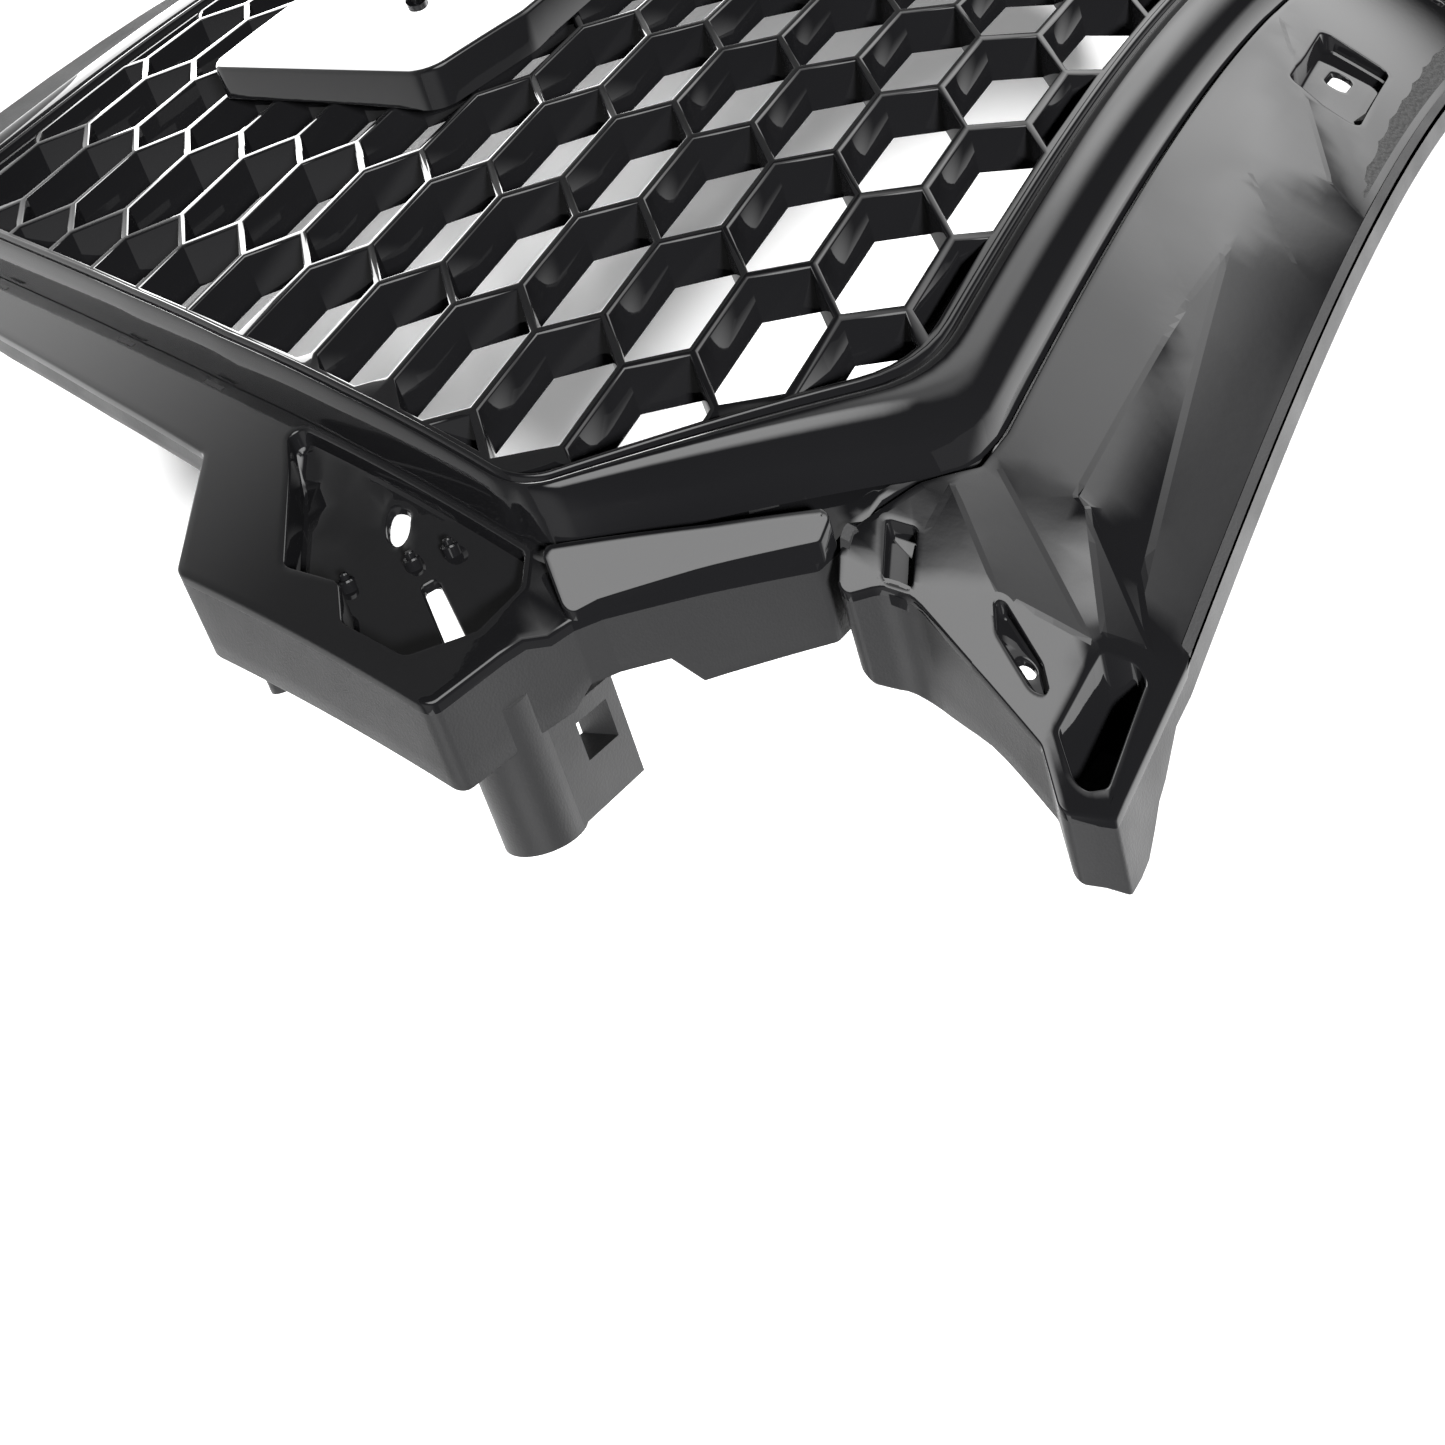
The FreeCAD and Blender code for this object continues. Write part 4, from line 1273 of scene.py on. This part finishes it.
# ---------------------------------------------------------------- corner cover
@dataclass
class CornerCover:
    """Gloss facet between the ring and the outer edge at one upper corner."""

    side: int
    outer: tuple = ((396.5, 91.0), (423.0, 68.3), (445.0, 50.2), (453.5, 45.0))
    inner: tuple = ((442.5, 33.0), (430.0, 46.5), (411.4, 66.5), (385.5, 91.5))
    high: float = 8.0
    low: float = 14.5
    under: float = 17.2
    fall: float = 15.0

    def depth(self, x: float, z: float) -> float:
        """Depth of the facet: high beside the ring, low at the outer edge."""
        gap = Plan.distance(np.array([[abs(x), z]]), self.inner, closed=False)[0]
        return self.high + (self.low - self.high) * min(1.0, gap / self.fall)

    def make(self) -> bpy.types.Object:
        """Builds the cover.

        Returns:
            The finished piece.
        """
        outline = Plan.rounded(list(self.outer) + list(self.inner), 3.0)
        if self.side < 0:
            outline = Plan.flip(outline)
        shell = Shell(DRAWING.face, self.depth, lambda x, z: self.under, skin=2.2, edge=0.7, grid=4.0)
        name = "right" if self.side > 0 else "left"
        piece = shell.make(f"corner_facet_{name}", Plan.dense(outline, 5.0), [])
        return ride(GLOSS.dress(piece), f"corner_cover_{name}")


# ---------------------------------------------------------------- plate base
@dataclass
class PlateBase:
    """Gloss tray for the number plate, in front of the mesh."""

    half: float = 297.0
    low: float = -203.0
    high: float = -79.0
    chamfer: float = 44.0
    proud: float = 5.0
    bend: float = 0.45e-3
    lean: float = 0.207
    hole_x: float = 215.0
    hole_r: float = 2.6
    slant: float = 0.28
    gap: float = 0.6

    def surface(self, x: float, z: float) -> float:
        """Front face of the tray along Y."""
        middle = (self.high + self.low) / 2
        return DRAWING.face(0, middle) - self.proud + self.lean * (z - middle) + self.bend * x ** 2

    def make(self) -> bpy.types.Object:
        """Builds the tray.

        Returns:
            The finished piece.
        """
        corners = Plan.mirrored([(self.half - self.chamfer, self.high, 16.0),
                                 (self.half, self.high - self.chamfer * self.slant, 12.0),
                                 (self.half, self.low, 8.0)])
        outline = Plan.dense(Plan.rounded(corners, step=8.0), 10.0)
        shell = Shell(self.surface, lambda x, z: 0.0,
                      lambda x, z: DRAWING.face(x, z) - self.gap - self.surface(x, z), edge=1.6, grid=14.0)
        middle = (self.high + self.low) / 2
        cuts = [Cut(Plan.circle(s * self.hole_x, middle, self.hole_r, 20)) for s in (-1, 1)]
        return ride(GLOSS.dress(shell.make("plate_tray", outline, cuts)), "plate_base")


# ---------------------------------------------------------------- kept pieces
@dataclass
class KeptPieces:
    """CAD pieces that keep their own meshes and take a finish."""

    finishes: dict[str, Finish] = field(default_factory=lambda: {
        "lower_beam": GRAIN, "lower_hooks": GRAIN, "hook_lug_right": GRAIN, "hook_lug_left": GRAIN,
        "tab_bracket_right": GRAIN, "tab_bracket_left": GRAIN, "locating_pins": GRAIN, "ring_clips": GRAIN,
        "plate_standoffs": SATIN, "badge_clips": SATIN, "sensor_bracket_right": SATIN,
        "sensor_bracket_left": SATIN, "sensor_plug_right": SATIN, "sensor_plug_left": SATIN,
        "rim_screws": STEEL, "panel_screws": STEEL, "beam_screws": STEEL, "plate_screws": STEEL,
        "seal_strip": FOAM, "badge_base": GLOSS,
    })

    def dress(self, nodes: dict[str, bpy.types.Object]) -> None:
        """Sets the finish of each CAD piece.

        Args:
            nodes: CAD pieces by name.
        """
        for name, finish in self.finishes.items():
            for slot in nodes[name].material_slots:
                slot.material = finish.material()


# ---------------------------------------------------------------- studio
@dataclass(frozen=True)
class SoftBox:
    """A soft area light that faces the grille."""

    name: str
    place: tuple[float, float, float]
    size: tuple[float, float]
    power: float
    aim: tuple[float, float, float] = (0.25, -0.02, -0.08)
    mirror_only: bool = False

    def make(self) -> None:
        """Adds the light."""
        data = bpy.data.lights.new(self.name, "AREA")
        data.shape = "RECTANGLE"
        data.size, data.size_y = self.size
        data.energy = self.power
        lamp = bpy.data.objects.new(self.name, data)
        lamp.location = self.place
        lamp.rotation_mode = "QUATERNION"
        lamp.rotation_quaternion = (Vector(self.aim) - Vector(self.place)).to_track_quat("-Z", "Y")
        lamp.visible_diffuse = not self.mirror_only
        bpy.context.scene.collection.objects.link(lamp)


@dataclass
class FloorBeam:
    """A wide spot from the upper right that whitens the floor round the part."""

    name: str = "floor_beam"
    target: tuple[float, float, float] = (-0.75, 1.15, -0.49)
    towards: tuple[float, float, float] = (0.628, -0.268, 0.731)
    distance: float = 6.0
    radius: float = 0.45
    angle: float = 40.0
    power: float = 2900.0

    def make(self) -> None:
        """Adds the spot."""
        data = bpy.data.lights.new(self.name, "SPOT")
        data.energy = self.power
        data.spot_size = math.radians(self.angle)
        data.spot_blend = 0.5
        data.shadow_soft_size = self.radius
        lamp = bpy.data.objects.new(self.name, data)
        back = Vector(self.towards).normalized()
        lamp.location = Vector(self.target) + back * self.distance
        lamp.rotation_mode = "QUATERNION"
        lamp.rotation_quaternion = (-back).to_track_quat("-Z", "Y")
        lamp.visible_glossy = False
        bpy.context.scene.collection.objects.link(lamp)


@dataclass(frozen=True)
class Glow:
    """A soft bright patch of the studio's air, seen from the part in one direction."""

    towards: tuple[float, float, float]
    strength: float
    edge: float
    core: float

    def add(self, nodes: bpy.types.Nodes, link: Callable, coords: bpy.types.Node,
            before: bpy.types.NodeSocket) -> bpy.types.NodeSocket:
        """Adds the patch to the world.

        Args:
            nodes: Nodes of the world.
            link: Function that joins two sockets.
            coords: Texture coordinates of the world.
            before: Brightness so far.

        Returns:
            Brightness with the patch.
        """
        dot = nodes.new("ShaderNodeVectorMath")
        dot.operation = "DOT_PRODUCT"
        link(coords.outputs["Generated"], dot.inputs[0])
        dot.inputs[1].default_value = Vector(self.towards).normalized()
        ramp = nodes.new("ShaderNodeMapRange")
        ramp.interpolation_type = "SMOOTHSTEP"
        ramp.inputs["From Min"].default_value = self.edge
        ramp.inputs["From Max"].default_value = self.core
        ramp.inputs["To Max"].default_value = self.strength
        link(dot.outputs["Value"], ramp.inputs["Value"])
        total = nodes.new("ShaderNodeMath")
        total.operation = "ADD"
        link(ramp.outputs["Result"], total.inputs[0])
        link(before, total.inputs[1])
        return total.outputs["Value"]


@dataclass
class Studio:
    """Floor, lights and camera."""

    floor_half: float = 9.0
    eye: tuple[float, float, float] = (0.7420, -0.1380, 0.2070)
    ahead: tuple[float, float, float] = (-0.6687, 0.4293, -0.6070)
    up: tuple[float, float, float] = (-0.5113, -0.8583, -0.0437)
    lens: float = 41.26
    boxes: tuple = (
        SoftBox("plate_box", (0.01, -0.34, -0.482), (0.50, 0.34), 6.5, (0.01, -0.34, 0.5), True),
        SoftBox("side_box", (1.6, 0.9, 0.5), (1.0, 1.0), 8.0),
        SoftBox("top_box", (-0.3, 1.1, 3.0), (2.4, 2.4), 6.0, (-0.2, 0.5, -0.49)),
    )
    beam: FloorBeam = field(default_factory=FloorBeam)
    floor_thick: float = 0.02
    floor_white: float = 0.93
    film: float = 36.0
    nearest: float = 0.02
    ambient: float = 0.02
    table_glow: float = 0.18
    backdrop: float = 0.93
    glows: tuple = (
        Glow((-0.83, -0.53, 0.17), 2.5, 0.93, 0.985),
        Glow((-0.66, -0.68, 0.32), 1.8, 0.93, 0.985),
        Glow((-0.47, -0.75, 0.46), 2.0, 0.92, 0.985),
        Glow((0.06, -0.88, 0.47), 9.0, 0.93, 0.985),
        Glow((0.95, -0.10, 0.30), 0.8, 0.70, 0.98),
        Glow((-0.67, 0.43, 0.61), 4.2, 0.78, 0.98),
    )

    def make(self, low: float) -> bpy.types.Object:
        """Builds the studio.

        Args:
            low: Height of the floor.

        Returns:
            The floor.
        """
        build = Builder()
        half = self.floor_half
        square = ((-half, -half), (half, -half), (half, half), (-half, half))
        top = build.ring([Vector((x, y, low)) for x, y in square])
        under = build.ring([p - Vector((0, 0, self.floor_thick)) for p in build.points])
        build.fan(top)
        build.fan(under, flip=True)
        build.band(under, top)
        floor = build.piece("studio_floor")
        paint = bpy.data.materials.new("studio_white")
        paint.use_nodes = True
        shader = paint.node_tree.nodes["Principled BSDF"]
        shader.inputs["Base Color"].default_value = (*[self.floor_white] * 3, 1)
        shader.inputs["Roughness"].default_value = 0.8
        shader.inputs["Specular IOR Level"].default_value = 0.1
        shader.inputs["Emission Color"].default_value = (1, 1, 1, 1)
        shader.inputs["Emission Strength"].default_value = self.table_glow
        floor.data.materials.append(paint)
        floor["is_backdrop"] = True
        for box in self.boxes:
            box.make()
        self.beam.make()
        self.air()
        bpy.context.scene.view_settings.view_transform = "Standard"
        self.camera()
        return floor

    def air(self) -> None:
        """Sets the dim surroundings with their soft bright patches."""
        world = bpy.data.worlds.new("studio_air")
        world.use_nodes = True
        nodes = world.node_tree.nodes
        link = world.node_tree.links.new
        coords = nodes.new("ShaderNodeTexCoord")
        base = nodes.new("ShaderNodeValue")
        base.outputs[0].default_value = self.ambient
        total = base.outputs[0]
        for glow in self.glows:
            total = glow.add(nodes, link, coords, total)
        nodes["Background"].inputs["Color"].default_value = (1, 1, 1, 1)
        path = nodes.new("ShaderNodeLightPath")
        seen = nodes.new("ShaderNodeMix")
        link(path.outputs["Is Camera Ray"], seen.inputs["Factor"])
        link(total, seen.inputs["A"])
        seen.inputs["B"].default_value = self.backdrop
        link(seen.outputs["Result"], nodes["Background"].inputs["Strength"])
        world.cycles_visibility.diffuse = False
        bpy.context.scene.world = world

    def camera(self) -> None:
        """Adds the camera."""
        data = bpy.data.cameras.new("studio_camera")
        data.lens = self.lens
        data.sensor_width = self.film
        data.clip_start = self.nearest
        made = bpy.data.objects.new("studio_camera", data)
        bpy.context.scene.collection.objects.link(made)
        back = -Vector(self.ahead).normalized()
        right = Vector(self.up).cross(back).normalized()
        up = back.cross(right)
        turn = Matrix((right, up, back)).transposed().to_4x4()
        made.matrix_world = Matrix.Translation(self.eye) @ turn
        bpy.context.scene.camera = made


def main(frame: dict, before: tuple) -> None:
    """Builds every sub-assembly in order.

    Args:
        frame: What the frame's load gave.
        before: Corners of the CAD box.
    """
    opening = Opening()
    KeptPieces().dress(frame["nodes"])
    parts = (HoneycombInsert(opening), RingTrim(opening), CarrierFrame(opening), TopPanel(),
             CornerCover(1), CornerCover(-1), PlateBase())
    for part in parts:
        made = part.make()
        for piece in made if isinstance(made, list) else [made]:
            LOG.info("%s: %d faces, %d open edges", piece.name, len(piece.data.polygons), closed(piece))
    Studio().make(before[0][2] - FLOOR_GAP)


if __name__ == "__main__":
    logging.basicConfig(level=logging.INFO, format="%(name)s: %(message)s", stream=sys.stdout)
    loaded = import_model()
    main(loaded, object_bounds())
